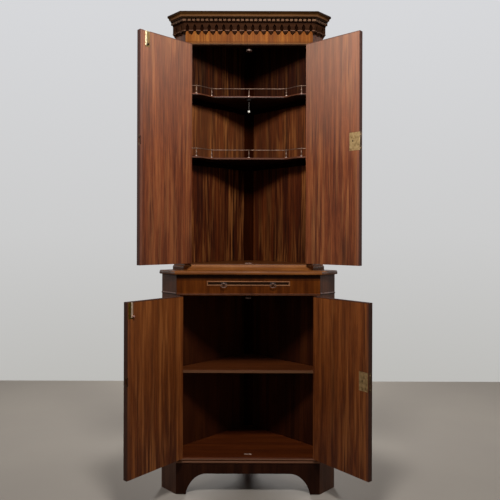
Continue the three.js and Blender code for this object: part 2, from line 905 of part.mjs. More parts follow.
// Opening of one bay: a pointed arch above, and below it the space between two hanging drops
function lancetCutter(bay) {
  const spring = arcadeZ + abacusHeight;
  const lower = lancetHalf - abacusWing;
  const end = bay / 2 - dropEndHalf;
  const shape = new THREE.Shape();
  shape.moveTo(-end, arcadeZ - dropHeight - overrun);
  shape.lineTo(-end, arcadeZ - dropHeight);
  shape.quadraticCurveTo(-lower, arcadeZ - dropHeight / 2, -lower, arcadeZ);
  shape.lineTo(-lower, spring);
  shape.lineTo(-lancetHalf, spring);
  shape.quadraticCurveTo(-lancetHalf, spring + lancetRise / 2, 0, spring + lancetRise);
  shape.quadraticCurveTo(lancetHalf, spring + lancetRise / 2, lancetHalf, spring);
  shape.lineTo(lower, spring);
  shape.lineTo(lower, arcadeZ);
  shape.quadraticCurveTo(lower, arcadeZ - dropHeight / 2, end, arcadeZ - dropHeight);
  shape.lineTo(end, arcadeZ - dropHeight - overrun);
  return facePrism(shape, -abacusOut - overrun, arcadeOut + overrun);
}

// Arcade of pointed arches that spring from small hanging drops
function corniceArcade() {
  const profile = [
    [seam, dentilZ],
    [arcadeOut, dentilZ],
    [arcadeOut, arcadeZ + abacusHeight],
    [arcadeOut + abacusOut, arcadeZ + abacusHeight],
    [arcadeOut + abacusOut, arcadeZ],
    [arcadeOut, arcadeZ],
    [dropEndOut, arcadeZ - dropHeight],
    [seam, arcadeZ - dropHeight],
  ];
  const faces = ringFaces(upperCase, arcadeOut);
  const cutters = faces.flatMap((face) => {
    const count = Math.round(face.length / archPitch);
    const bay = face.length / count;
    return cuttersAlong([face], (length) => bayMiddles(length, count), () => lancetCutter(bay));
  });
  return cut(solid(ringRun(upperCase, profile)), cutters);
}

// Band with a row of dentils hanging from its upper part
function corniceDentils() {
  const dentilFoot = crownZ - dentilHeight;
  const profile = [
    [seam, dentilZ],
    [dentilBackOut, dentilZ],
    [dentilBackOut, dentilFoot],
    [dentilOut, dentilFoot],
    [dentilOut, crownZ],
    [seam, crownZ],
  ];
  const faces = ringFaces(upperCase, dentilOut);
  const places = (length) => partings(length, Math.round(length / dentilPitch));
  const gap = () => box(
    -dentilGap / 2, dentilGap / 2,
    -overrun, dentilOut - dentilBackOut,
    dentilFoot - overrun, crownZ + overrun,
  );
  return cut(solid(ringRun(upperCase, profile)), cuttersAlong(faces, places, gap));
}

// Crown moulding: a soffit, an S curve and a top fillet
function corniceCrown() {
  const top = crownZ + crownHeight;
  const low = crownZ + crownSoffit;
  const high = top - crownFillet;
  const midOut = (crownSoffitOut + crownOut) / 2;
  const midZ = (low + high) / 2;
  const swellOut = midOut - crownSoffitOut;
  const swellZ = midZ - low;
  const profile = [
    [seam, crownZ],
    [crownSoffitOut, crownZ],
    ...arc(crownSoffitOut, midZ, swellOut, swellZ, -Math.PI / 2, 0, arcSteps),
    ...arc(crownOut, midZ, -swellOut, swellZ, 0, Math.PI / 2, arcSteps).slice(1),
    [crownOut, top],
    [seam, top],
  ];
  return ringRun(upperCase, profile);
}

// Fittings of the doors. Each is built about the hinge pin, with the free edge towards dir.

// X of the hinge pin, in the middle of the gap between the stile and the door
function pinX(plan) {
  return plan.frontHalf - plan.stile - doorSideGap / 2;
}

// From the pin to the door's free edge
function doorWidth(plan) {
  return pinX(plan) - doorMeetGap / 2;
}

const doorInner = pinOut + doorThickness; // Y of the inner face when the door is shut

// Knuckles of a hinge: the even ones stay on the stile, the odd ones swing with the door
function knuckles(dir, z, moving) {
  const step = hingeLength / knuckleCount;
  const from = dir * (moving ? 1 : -1) * (doorSideGap / 2);
  const to = dir * (moving ? 1 : -1) * (doorSideGap / 2 + hingeLeaf);
  const parts = [];
  for (let i = moving ? 1 : 0; i < knuckleCount; i += 2) {
    const z0 = z + i * step + (i > 0 ? seam / 2 : 0);
    const z1 = z + (i + 1) * step - (i + 1 < knuckleCount ? seam / 2 : 0);
    parts.push(uprightCylinder(knuckleRadius, z0, z1, knuckleSides));
    parts.push(box(from, to, 0, pinOut + hingeLeaf, z0, z1));
  }
  return parts;
}

// Fixed leaf with its knuckles and the pin
function fixedHinge(dir, z) {
  const from = -dir * (doorSideGap / 2);
  const leaf = box(from, from - dir * hingeLeaf, pinOut, pinOut + hingeLeafWidth, z, z + hingeLength);
  const pin = uprightCylinder(pinRadius, z, z + hingeLength, knuckleSides);
  return join([leaf, pin, ...knuckles(dir, z, false)]);
}

// Door leaf with its hinge knuckles
function hungDoor(plan, dir, z0, z1, hingeZs) {
  const leaf = box(dir * (doorSideGap / 2), dir * doorWidth(plan), pinOut, doorInner, z0, z1);
  const bores = hingeZs.map((z) => (
    uprightCylinder(boreRadius, z - overrun, z + hingeLength + overrun, knuckleSides)
  ));
  return cut(join([leaf, ...hingeZs.flatMap((z) => knuckles(dir, z, true))]), bores);
}

// Space of the lock, its plate and the keyhole in a right door, with a margin
function lockSpaces(plan, dir, z) {
  const edge = doorWidth(plan);
  const tall = lockHeight / 2 + seam;
  const keyX = dir * (edge - lockBossFromEdge);
  const body = box(
    dir * (edge - lockWidth - seam), dir * (edge + overrun),
    doorInner - lockDepth - seam, doorInner + overrun, z - tall, z + tall,
  );
  const plate = box(
    dir * (edge - lockPlate - seam), dir * (edge + overrun),
    doorInner - lockPlateWidth - seam, doorInner + overrun, z - tall, z + tall,
  );
  const round = new THREE.CylinderGeometry(keyholeRadius, keyholeRadius, doorInner, smallSides);
  round.translate(keyX, doorInner / 2, z);
  const slot = box(keyX - keyholeSlot / 2, keyX + keyholeSlot / 2, 0, doorInner, z - keyholeDrop, z);
  return [body, plate, round, slot];
}

// Box of a lock's bolt at rest, made larger by a margin and longer at its outer end
function lockBoltBox(plan, dir, z, margin, longer) {
  const edge = doorWidth(plan);
  const y = doorInner - lockBoltIn;
  return box(
    dir * (edge - lockBoltLength - margin), dir * (edge + longer),
    y - lockBoltThick - margin, y + margin,
    z - lockBoltHeight / 2 - margin, z + lockBoltHeight / 2 + margin,
  );
}

// Lock case with its plate on the door's edge, open there for the bolt
function lockCase(plan, dir, z) {
  const edge = doorWidth(plan);
  const tall = lockHeight / 2;
  const body = box(
    dir * (edge - lockWidth), dir * edge, doorInner - lockDepth, doorInner, z - tall, z + tall,
  );
  const plate = box(
    dir * (edge - lockPlate), dir * edge, doorInner - lockPlateWidth, doorInner, z - tall, z + tall,
  );
  const boss = new THREE.CylinderGeometry(
    lockBossRadius, lockBossRadius, lockBossOut + lockBoltIn / 2, smallSides,
  );
  boss.translate(dir * (edge - lockBossFromEdge), doorInner + lockBossOut / 2 - lockBoltIn / 4, z);
  return cut(join([body, plate, boss]), [lockBoltBox(plan, dir, z, seam, overrun)]);
}

// Mortise in a left door's edge for the lock's bolt
function strikeMortise(plan, z) {
  const edge = doorWidth(plan);
  const y = doorInner - lockBoltIn;
  const tall = lockBoltHeight / 2 + boltFit;
  return box(
    edge + doorMeetGap - lockBoltThrow - strikeSpare, edge + overrun,
    y - lockBoltThick - boltFit, y + boltFit,
    z - tall, z + tall,
  );
}

// Sizes of a door bolt: its middle and the plate's ends
function boltPlace(plan, doorTop) {
  const top = doorTop - boltTopGap;
  return { x: doorWidth(plan) - boltFromEdge - boltPlateWidth / 2, top, bottom: top - boltPlateHeight };
}

function boltHousing(plan, doorTop) {
  const { x, bottom } = boltPlace(plan, doorTop);
  const wide = boltPlateWidth / 2 + seam;
  return box(
    x - wide, x + wide,
    doorInner - boltPlateThick - seam, doorInner + overrun,
    bottom - seam, doorTop + overrun,
  );
}

// Plate let into the door, with two straps that hold the bar
function boltPlate(plan, doorTop) {
  const { x, top, bottom } = boltPlace(plan, doorTop);
  const wide = boltPlateWidth / 2;
  const bar = boltBarWidth / 2 + seam;
  const over = doorInner + boltBarThick + 2 * seam;
  const plate = box(x - wide, x + wide, doorInner - boltPlateThick, doorInner, bottom, top);
  const side = bar + boltStrapWing;
  const straps = [0, 1].map((i) => {
    const z = top - boltStrapDrop - i * boltStrapStep;
    return box(
      x - side, x + side,
      doorInner - boltPlateThick / 2, over + boltStrapThick,
      z - boltStrapHeight, z,
    );
  });
  const channel = box(x - bar, x + bar, doorInner, over, bottom - overrun, top + overrun);
  return cut(join([plate, ...straps]), [channel]);
}

// Sliding bar with a knob near its lower end
function boltBar(plan, doorTop) {
  const { x, top } = boltPlace(plan, doorTop);
  const low = top - boltBarLength;
  const face = doorInner + seam;
  const bar = box(x - boltBarWidth / 2, x + boltBarWidth / 2, face, face + boltBarThick, low, top);
  const knob = new THREE.CylinderGeometry(boltKnobRadius, boltKnobRadius, boltKnobLength, smallSides);
  knob.translate(x, face + boltBarThick / 2 + boltKnobLength / 2, low + boltKnobRise);
  return join([bar, knob]);
}

// Turned stop hung from a rail, behind the meeting corners of the doors
function doorStop(plan, railZ) {
  const y = plan.front + doorThickness + seam + stopRadius;
  const crown = arc(0, stopCrown, stopRadius, stopCrown, 0, -Math.PI / 2, arcSteps);
  const profile = [[0, stopDrop], [stopRadius, stopDrop], ...crown.slice(0, -1), [0, 0]];
  return turned([...profile].reverse(), roundSides).translate(0, y, railZ - stopDrop);
}

// Assembly

function hingePlaces(z0, z1) {
  return [z0 + hingeFromEnd, z1 - hingeFromEnd - hingeLength];
}

// One door with what it carries, hung on its pin and standing open
function addDoor(stage, plan, side, openZ, openHeight, lockZ, restAngle) {
  const dir = -side;
  const [z0, z1] = [openZ + doorEndGap, openZ + openHeight - doorEndGap];
  const hingeZs = hingePlaces(z0, z1);
  const pin = new THREE.Group();
  pin.position.set(side * pinX(plan), plan.front - pinOut, 0);
  cupboard.add(pin);
  hingeZs.forEach((z, i) => {
    const place = i === 0 ? "bottom" : "top";
    addNode(pin, `${stage}_${sideName(side)}_hinge_${place}`, fixedHinge(dir, z), brass);
  });
  const swing = new THREE.Group();
  swing.rotation.z = side * THREE.MathUtils.degToRad(restAngle);
  pin.add(swing);
  const door = hungDoor(plan, dir, z0, z1, hingeZs);
  if (side < 0) {
    const cuts = [strikeMortise(plan, lockZ), boltHousing(plan, z1)];
    addNode(swing, `${stage}_left_door`, cut(door, cuts), mahogany);
    addNode(swing, `${stage}_bolt_plate`, boltPlate(plan, z1), brass);
    addNode(swing, `${stage}_bolt`, boltBar(plan, z1), brass);
  } else {
    addNode(swing, `${stage}_right_door`, cut(door, lockSpaces(plan, dir, lockZ)), mahogany);
    addNode(swing, `${stage}_lock`, lockCase(plan, dir, lockZ), brass);
    addNode(swing, `${stage}_lock_bolt`, solid(lockBoltBox(plan, dir, lockZ, 0, 0)), brass);
  }
}

function addLowerCase() {
  const hingeZs = hingePlaces(lowerDoorsZ + doorEndGap, friezeZ - doorEndGap);
  const profile = beadedBoard(cantBoard, 0, waistZ, friezeZ + beadRise + beadRadius, beadRadius);
  for (const side of [-1, 1]) {
    const name = sideName(side);
    const cant = cantWithStile(lowerCase, side, profile, lowerDoorsZ, lowerOpening, hingeZs);
    addNode(cupboard, `lower_${name}_cant`, cant, mahogany);
    addNode(cupboard, `lower_${name}_back`, groovedBack(side), stripedMahogany);
  }
  addNode(cupboard, "lower_corner_strip", cornerStrip(lowerCase, 0, waistZ), boardWood);
  addNode(cupboard, "plinth", plinth(), mahogany);
  addNode(cupboard, "lower_bottom_board", sillBoard(), mahogany);
  addNode(cupboard, "lower_shelf", lowerShelf(), mahogany);
  addNode(cupboard, "lower_frieze_rail", lowerFriezeRail(), paleMahogany);
  addNode(cupboard, "dust_board", dustBoard(), boardWood);
  addNode(cupboard, "slide_guide", slideGuide(), boardWood);
  addNode(cupboard, "waist_top", mouldedBoard(lowerCase, nosingEdge()), paleMahogany);
  addNode(cupboard, "lower_door_stop", doorStop(lowerCase, friezeZ), brass);
}

function addSlide() {
  addNode(cupboard, "slide_board", slideBoard(), paleMahogany);
  for (const side of [-1, 1]) {
    const place = new THREE.Group();
    place.position.set(side * pullFromMiddle, -seam, friezeZ + slideRise + slideThick / 2);
    cupboard.add(place);
    addNode(place, `${sideName(side)}_pull_post`, pullPost(), brass);
    const loop = addNode(place, `${sideName(side)}_pull_loop`, pullLoop(), brass);
    loop.position.y = -pullReach;
  }
}

function addUpperCase() {
  const hingeZs = hingePlaces(upperDoorsZ + doorEndGap, upperRailZ - doorEndGap);
  const profile = [[-cantBoard, upperDoorsZ], [0, upperDoorsZ], [0, crownZ], [-cantBoard, crownZ]];
  for (const side of [-1, 1]) {
    const name = sideName(side);
    const cant = cantWithStile(upperCase, side, profile, upperDoorsZ, upperOpening, hingeZs);
    addNode(cupboard, `upper_${name}_cant`, cant, mahogany);
    addNode(cupboard, `upper_${name}_back`, backBoard(upperCase, side, upperDoorsZ, crownZ), stripedMahogany);
  }
  addNode(cupboard, "upper_corner_strip", cornerStrip(upperCase, upperDoorsZ, crownZ), boardWood);
  addNode(cupboard, "upper_bottom_board", mouldedBoard(upperCase, baseMouldingEdge()), paleMahogany);
  const topBoard = mouldedBoard(upperCase, [[0, crownZ], [0, crownZ + topBoardHeight]]);
  addNode(cupboard, "upper_top_board", topBoard, boardWood);
  addNode(cupboard, "upper_frieze_rail", upperFriezeRail(), paleMahogany);
  addNode(cupboard, "cornice_arcade", corniceArcade(), mahogany);
  addNode(cupboard, "cornice_dentils", corniceDentils(), mahogany);
  addNode(cupboard, "cornice_crown", corniceCrown(), mahogany);
  addNode(cupboard, "upper_door_stop", doorStop(upperCase, upperRailZ), brass);
  for (const [name, top] of [["low", lowShelfTop], ["high", highShelfTop]]) {
    addNode(cupboard, `${name}_shelf`, upperShelf(top), stripedMahogany);
    addNode(cupboard, `${name}_shelf_bearer`, shelfBearer(top), stripedMahogany);
    addNode(cupboard, `${name}_gallery`, gallery(top), brass);
  }
}

// Pull switch under the high shelf, with its cord and bead
function addPullCord() {
  const y = upperCase.front + shelfSetback + switchFromEdge;
  const ceiling = highShelfTop - shelfThick;
  const cordTop = ceiling - switchHeight - seam;
  const cordEnd = cordTop - cordLength;
  const place = new THREE.Group();
  place.position.set(0, y, 0);
  cupboard.add(place);
  const rim = switchHeight / 3;
  const body = turned(
    [[0, ceiling - switchHeight], [switchRadius - rim, ceiling - switchHeight],
      [switchRadius, ceiling - switchHeight + rim], [switchRadius, ceiling], [0, ceiling]],
    roundSides,
  );
  addNode(place, "pull_switch", body, darkPlastic);
  const section = shapeOf(arc(0, 0, cordRadius, cordRadius, 0, 2 * Math.PI, smallSides).slice(1));
  const path = new THREE.LineCurve3(new THREE.Vector3(0, 0, cordTop), new THREE.Vector3(0, 0, cordEnd));
  const cord = new THREE.ExtrudeGeometry(section, { steps: smallSides, extrudePath: path });
  addNode(place, "pull_cord", solid(cord), cordFibre);
  const ball = new THREE.SphereGeometry(beadSphere, roundSides, smallSides).rotateX(Math.PI / 2);
  ball.translate(0, 0, cordEnd - seam - beadSphere);
  addNode(place, "pull_bead", solid(ball), whitePlastic);
}

addLowerCase();
addSlide();
addDoor("lower", lowerCase, -1, lowerDoorsZ, lowerOpening, lowerLockHeight, lowerRestAngle);
addDoor("lower", lowerCase, 1, lowerDoorsZ, lowerOpening, lowerLockHeight, lowerRestAngle);
addUpperCase();
addDoor("upper", upperCase, -1, upperDoorsZ, upperOpening, upperLockHeight, upperLeftRestAngle);
addDoor("upper", upperCase, 1, upperDoorsZ, upperOpening, upperLockHeight, upperRightRestAngle);
addPullCord();

// The origin is under the middle of the whole, on the floor
cupboard.updateMatrixWorld(true);
const bounds = new THREE.Box3().setFromObject(cupboard, true);
const middle = bounds.getCenter(new THREE.Vector3());
cupboard.position.set(-middle.x, -middle.y, -bounds.min.z);
console.log(`Origin moved by ${cupboard.position.toArray().map((v) => v.toFixed(3)).join(", ")}`);

export default cupboard;
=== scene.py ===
"""Corner cupboard in mahogany with brass fittings, dressed over its fixed solids.

Flat boards and flat fittings keep their solids and get eased edges and a finish. Curved boards, turnings,
wires and small trim are built here. Lengths of the cupboard are millimetres in its own frame: the front
plane of the lower case is Y 0, +Y runs back into the room's corner and Z 0 is the floor.
"""

import json
import logging
import math
from dataclasses import dataclass, field, replace
from enum import Enum
from typing import Callable, ClassVar, Iterable, Optional, Sequence, Union

import bmesh
import bpy
from mathutils import Matrix, Vector

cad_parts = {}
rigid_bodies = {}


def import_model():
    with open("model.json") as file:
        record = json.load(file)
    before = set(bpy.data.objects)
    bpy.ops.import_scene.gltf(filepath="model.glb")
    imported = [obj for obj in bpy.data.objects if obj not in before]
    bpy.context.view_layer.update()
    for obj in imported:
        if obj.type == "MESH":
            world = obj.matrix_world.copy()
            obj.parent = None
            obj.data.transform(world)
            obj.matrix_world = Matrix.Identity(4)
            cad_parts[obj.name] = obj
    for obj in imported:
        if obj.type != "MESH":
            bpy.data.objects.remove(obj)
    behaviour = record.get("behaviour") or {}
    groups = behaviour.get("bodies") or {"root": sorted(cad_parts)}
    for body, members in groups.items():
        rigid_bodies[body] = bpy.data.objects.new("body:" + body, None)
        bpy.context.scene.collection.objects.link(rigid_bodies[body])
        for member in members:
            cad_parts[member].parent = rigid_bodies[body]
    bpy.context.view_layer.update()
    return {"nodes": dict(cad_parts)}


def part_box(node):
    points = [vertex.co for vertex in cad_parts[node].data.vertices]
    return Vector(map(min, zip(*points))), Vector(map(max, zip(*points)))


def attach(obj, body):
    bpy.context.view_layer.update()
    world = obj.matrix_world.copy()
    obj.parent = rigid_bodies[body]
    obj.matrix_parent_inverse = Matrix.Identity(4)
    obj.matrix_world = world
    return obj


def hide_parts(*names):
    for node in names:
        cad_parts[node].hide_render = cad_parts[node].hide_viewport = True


LOG = logging.getLogger("corner_cupboard")

Colour = tuple[int, int, int]
Point = Sequence[float]
Profile = list[tuple[float, float]]
Rim = tuple[float, float, float]
Input = Union[float, bpy.types.NodeSocket]


def clear_start_scene() -> None:
    """Removes what the program's own start scene holds."""
    for thing in list(bpy.data.objects):
        bpy.data.objects.remove(thing, do_unlink=True)


clear_start_scene()
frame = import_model()

FRONT_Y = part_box("plinth")[0].y
TO_ROOM = Matrix.Translation((0.0, FRONT_Y, 0.0)) @ Matrix.Scale(0.001, 4)
# Shift of a 45 degree corner along its edge for each unit of projection, and the cosine of 45 degrees
MITRE = math.tan(math.pi / 8)
HALF = math.sqrt(0.5)
# Clearance in millimetres between boards that meet
SEAM = 0.3
SMOOTH_LIMIT = math.radians(38)


# Plan and profiles


def arc(cx: float, cz: float, rx: float, rz: float, start: float, end: float, steps: int) -> Profile:
    """Points of an elliptical arc.

    Args:
        cx, cz: Centre.
        rx, rz: Radii.
        start, end: Angles in degrees.
        steps: Number of parts.

    Returns:
        The points, both ends included.
    """
    angles = [math.radians(start + (end - start) * i / steps) for i in range(steps + 1)]
    return [(cx + rx * math.cos(a), cz + rz * math.sin(a)) for a in angles]


def curve(controls: Sequence[Point], steps: int) -> Profile:
    """Points of the smooth curve that a list of control points pulls.

    Args:
        controls: Control points, the curve's ends among them.
        steps: Number of parts.

    Returns:
        The points, both ends included.
    """
    points = []
    for i in range(steps + 1):
        share = i / steps
        row = [tuple(c) for c in controls]
        while len(row) > 1:
            row = [tuple(a + (b - a) * share for a, b in zip(p, q)) for p, q in zip(row, row[1:])]
        points.append(row[0])
    return points


@dataclass(frozen=True)
class Plan:
    """Plan of one case: a straight front between two cants that run back to the walls at 45 degrees."""

    front: float
    front_half: float
    cant: float
    stile: float
    back: float
    cant_board: float = 20.0
    strip_half: float = 31.0

    @property
    def room_corner(self) -> float:
        """Y of the room's corner."""
        return self.front + self.front_half + 2 * self.cant

    @property
    def reach(self) -> float:
        """Length of wall that the case takes up."""
        return (self.front_half + self.cant) / HALF

    def corner(self, side: int, out: float, back: float = 0.0) -> tuple[float, float]:
        """Front corner on one side, moved out by a projection and back from the mitre.

        Args:
            side: -1 for the left and 1 for the right.
            out: Projection from the face.
            back: Distance that the end stays back.

        Returns:
            X and Y.
        """
        return side * (self.front_half + out * MITRE - back), self.front - out

    def tip(self, side: int, out: float) -> tuple[float, float]:
        """Rear end of a cant's face on the wall.

        Args:
            side: -1 for the left and 1 for the right.
            out: Projection from the face.

        Returns:
            X and Y.
        """
        return side * (self.front_half + self.cant + out * HALF), self.front + self.cant - out * HALF

    def wall(self, side: int, along: float, inward: float) -> tuple[float, float]:
        """Point at a distance along a wall and a distance in front of it.

        Args:
            side: -1 for the left and 1 for the right.
            along: Distance from the room's corner.
            inward: Distance from the wall.

        Returns:
            X and Y.
        """
        return side * (along - inward) * HALF, self.room_corner - (along + inward) * HALF

    def cant_inner_x(self, y: float) -> float:
        """X of the cant's inner face at a depth Y, less the seam."""
        return self.front_half - self.cant_board * MITRE - SEAM + y - self.front - self.cant_board

    def inner_cant(self, side: int) -> tuple[float, float]:
        """Where a board inside the case meets both the cant and the back."""
        return self.wall(side, self.reach - self.cant_board - SEAM, self.back + SEAM)

    def inner_rear(self, side: int) -> tuple[float, float]:
        """Rear corner of a board inside the case."""
        clear = self.back + SEAM
        return self.wall(side, (self.strip_half + self.back * HALF + SEAM) / HALF - clear, clear)


LOWER = Plan(front=0.0, front_half=296.0, cant=70.0, stile=12.0, back=14.0)
UPPER = Plan(front=68.0, front_half=270.0, cant=49.0, stile=15.0, back=12.0)


# Surfaces made in code


def upright(x: float, y: float, z: float) -> Matrix:
    """Place of a turning that stands along Z."""
    return Matrix.Translation((x, y, z))


def facing(x: float, y: float, z: float, axis: str, turn: float) -> Matrix:
    """Place of a turning whose own Z is turned about X or Y.

    Args:
        x, y, z: Its origin.
        axis: The axis that it is turned about.
        turn: The angle in degrees.

    Returns:
        The matrix from the turning's own frame.
    """
    return Matrix.Translation((x, y, z)) @ Matrix.Rotation(math.radians(turn), 4, axis)


@dataclass
class Shape:
    """A surface that is put together in millimetres and then becomes one piece."""

    mesh: bmesh.types.BMesh = field(default_factory=bmesh.new)

    def skin(self, rings: Sequence[Sequence[Point]], loop: bool = False) -> None:
        """Joins rings of equal counts, and closes both ends unless the rings form a loop.

        Args:
            rings: The rings, each a closed list of points.
            loop: Whether the last ring joins the first.
        """
        rows = [[self.mesh.verts.new(p) for p in ring] for ring in rings]
        pairs = list(zip(rows, rows[1:]))
        if loop:
            pairs.append((rows[-1], rows[0]))
        else:
            self.mesh.faces.new(rows[0])
            self.mesh.faces.new(rows[-1])
        for first, second in pairs:
            for i, a in enumerate(first):
                j = (i + 1) % len(first)
                self.mesh.faces.new((a, first[j], second[j], second[i]))

    def prism(self, outline: Sequence[Point], z0: float, z1: float, place: Matrix = Matrix()) -> None:
        """Adds an upright body over an outline.

        Args:
            outline: Points of X and Y.
            z0, z1: Lower and upper level.
            place: Matrix from the outline's frame.
        """
        self.skin([[place @ Vector((x, y, z)) for x, y in outline] for z in (z0, z1)])

    def board(self, low: Point, high: Point, place: Matrix = Matrix()) -> None:
        """Adds a flat board between two opposite corners.

        Args:
            low, high: The corners.
            place: Matrix from the board's frame.
        """
        (x0, y0, z0), (x1, y1, z1) = low, high
        self.prism([(x0, y0), (x1, y0), (x1, y1), (x0, y1)], z0, z1, place)

    def turning(self, profile: Sequence[Point], sides: int, place: Matrix = Matrix()) -> None:
        """Adds a turned body about its own Z.

        Args:
            profile: Points of radius and height, from one end of the axis to the other.
            sides: Number of faces round it.
            place: Matrix from the turning's frame.
        """
        rows = []
        for radius, height in profile:
            turns = [0.0] if radius < 1e-6 else [2 * math.pi * i / sides for i in range(sides)]
            rows.append([
                self.mesh.verts.new(place @ Vector((radius * math.cos(a), radius * math.sin(a), height)))
                for a in turns
            ])
        for first, second in zip(rows, rows[1:]):
            for i in range(sides):
                j = (i + 1) % sides
                if len(first) == 1:
                    self.mesh.faces.new((first[0], second[i], second[j]))
                elif len(second) == 1:
                    self.mesh.faces.new((first[i], first[j], second[0]))
                else:
                    self.mesh.faces.new((first[i], first[j], second[j], second[i]))

    def hoop(self, profile: Sequence[Point], sides: int, place: Matrix = Matrix()) -> None:
        """Adds a turned ring about its own Z.

        Args:
            profile: Closed outline of radius and height, clear of the axis.
            sides: Number of parts round it.
            place: Matrix from the ring's frame.
        """
        rings = []
        for i in range(sides):
            a = 2 * math.pi * i / sides
            rings.append([place @ Vector((r * math.cos(a), r * math.sin(a), h)) for r, h in profile])
        self.skin(rings, loop=True)

    def tube(self, path: Sequence[Point], radius: Callable[[float], float], up: Point, sides: int,
             loop: bool = False, place: Matrix = Matrix()) -> None:
        """Adds a round bar along a path.

        Args:
            path: Points of its middle line.
            radius: Radius at a share of the path from 0 to 1.
            up: A direction that the path never runs along.
            sides: Number of faces round it.
            loop: Whether the path is closed.
            place: Matrix from the path's frame.
        """
        points = [Vector(p) for p in path]
        count = len(points)
        rings = []
        for i, point in enumerate(points):
            before = points[(i - 1) % count] if loop else points[max(i - 1, 0)]
            after = points[(i + 1) % count] if loop else points[min(i + 1, count - 1)]
            along = (after - before).normalized()
            side = Vector(up).cross(along).normalized()
            rise = along.cross(side)
            r = radius(i / (count - 1))
            rings.append([
                place @ (point + side * r * math.cos(a) + rise * r * math.sin(a))
                for a in (2 * math.pi * k / sides for k in range(sides))
            ])
        self.skin(rings, loop=loop)

    def screw(self, place: Matrix, radius: float = 2.3) -> None:
        """Adds a slotted screw head that looks along its own Z.

        Args:
            place: Matrix from the screw's frame.
            radius: Radius of the head.
        """
        slot = radius * 0.14
        self.turning([(0, -0.5), (radius, -0.5), (radius, 0.05), (0, 0.05)], 16, place)
        for side in (-1, 1):
            lean = math.degrees(math.asin(slot / radius))
            rim = arc(0, 0, radius, radius, lean, 180 - lean, 8)
            top = [(x * 0.86, y * 0.86 + slot * 0.14, 0.32) for x, y in rim]
            low = [(x, y, 0.05) for x, y in rim]
            self.skin([[place @ Vector((x, side * y, z)) for x, y, z in ring] for ring in (low, top)])

    def pierced(self, outer: Rim, inner: Rim, levels: tuple[float, float],
                put: Callable[[float, float, float], Point]) -> None:
        """Adds a thin plate with an opening through it.

        Args:
            outer, inner: Near end, far end and half height of the plate and of its opening.
            levels: Levels of its rear and its face.
            put: Point from a distance along the plate, a height and a level.
        """
        low, high = levels
        rings = []
        for (near, far, half), level in ((outer, low), (outer, high), (inner, high), (inner, low)):
            corners = ((near, -half), (far, -half), (far, half), (near, half))
            rings.append([put(along, up, level) for along, up in corners])
        self.skin(rings, loop=True)

    def object(self, name: str, place: Matrix = Matrix()) -> bpy.types.Object:
        """Turns the surface into an object in the room.

        Args:
            name: Name of the piece.
            place: Matrix from the surface's own frame, in millimetres.

        Returns:
            The object, smooth except at its true edges.
        """
        bmesh.ops.recalc_face_normals(self.mesh, faces=self.mesh.faces)
        for edge in self.mesh.edges:
            edge.smooth = len(edge.link_faces) == 2 and edge.calc_face_angle(0.0) < SMOOTH_LIMIT
        for face in self.mesh.faces:
            face.smooth = True
        self.mesh.transform(TO_ROOM @ place)
        data = bpy.data.meshes.new(name)
        self.mesh.to_mesh(data)
        self.mesh.free()
        made = bpy.data.objects.new(name, data)
        bpy.context.scene.collection.objects.link(made)
        return made


# Finishes


def linear(colour: Colour) -> tuple[float, float, float, float]:
    """Linear colour with alpha from eight-bit values as a screen shows them."""
    shares = [c / 255 for c in colour]
    return (*[s / 12.92 if s <= 0.04045 else ((s + 0.055) / 1.055) ** 2.4 for s in shares], 1.0)


class Run(Enum):
    """Way that the grain runs in a board, as the axis along which its figure is drawn out."""

    UPRIGHT = 2
    ACROSS = 0
    DEEP = 1

    def drawn(self, length: float) -> tuple[float, float, float]:
        """Scale of a texture that is drawn out along the grain."""
        return tuple(length if axis == self.value else 1.0 for axis in range(3))


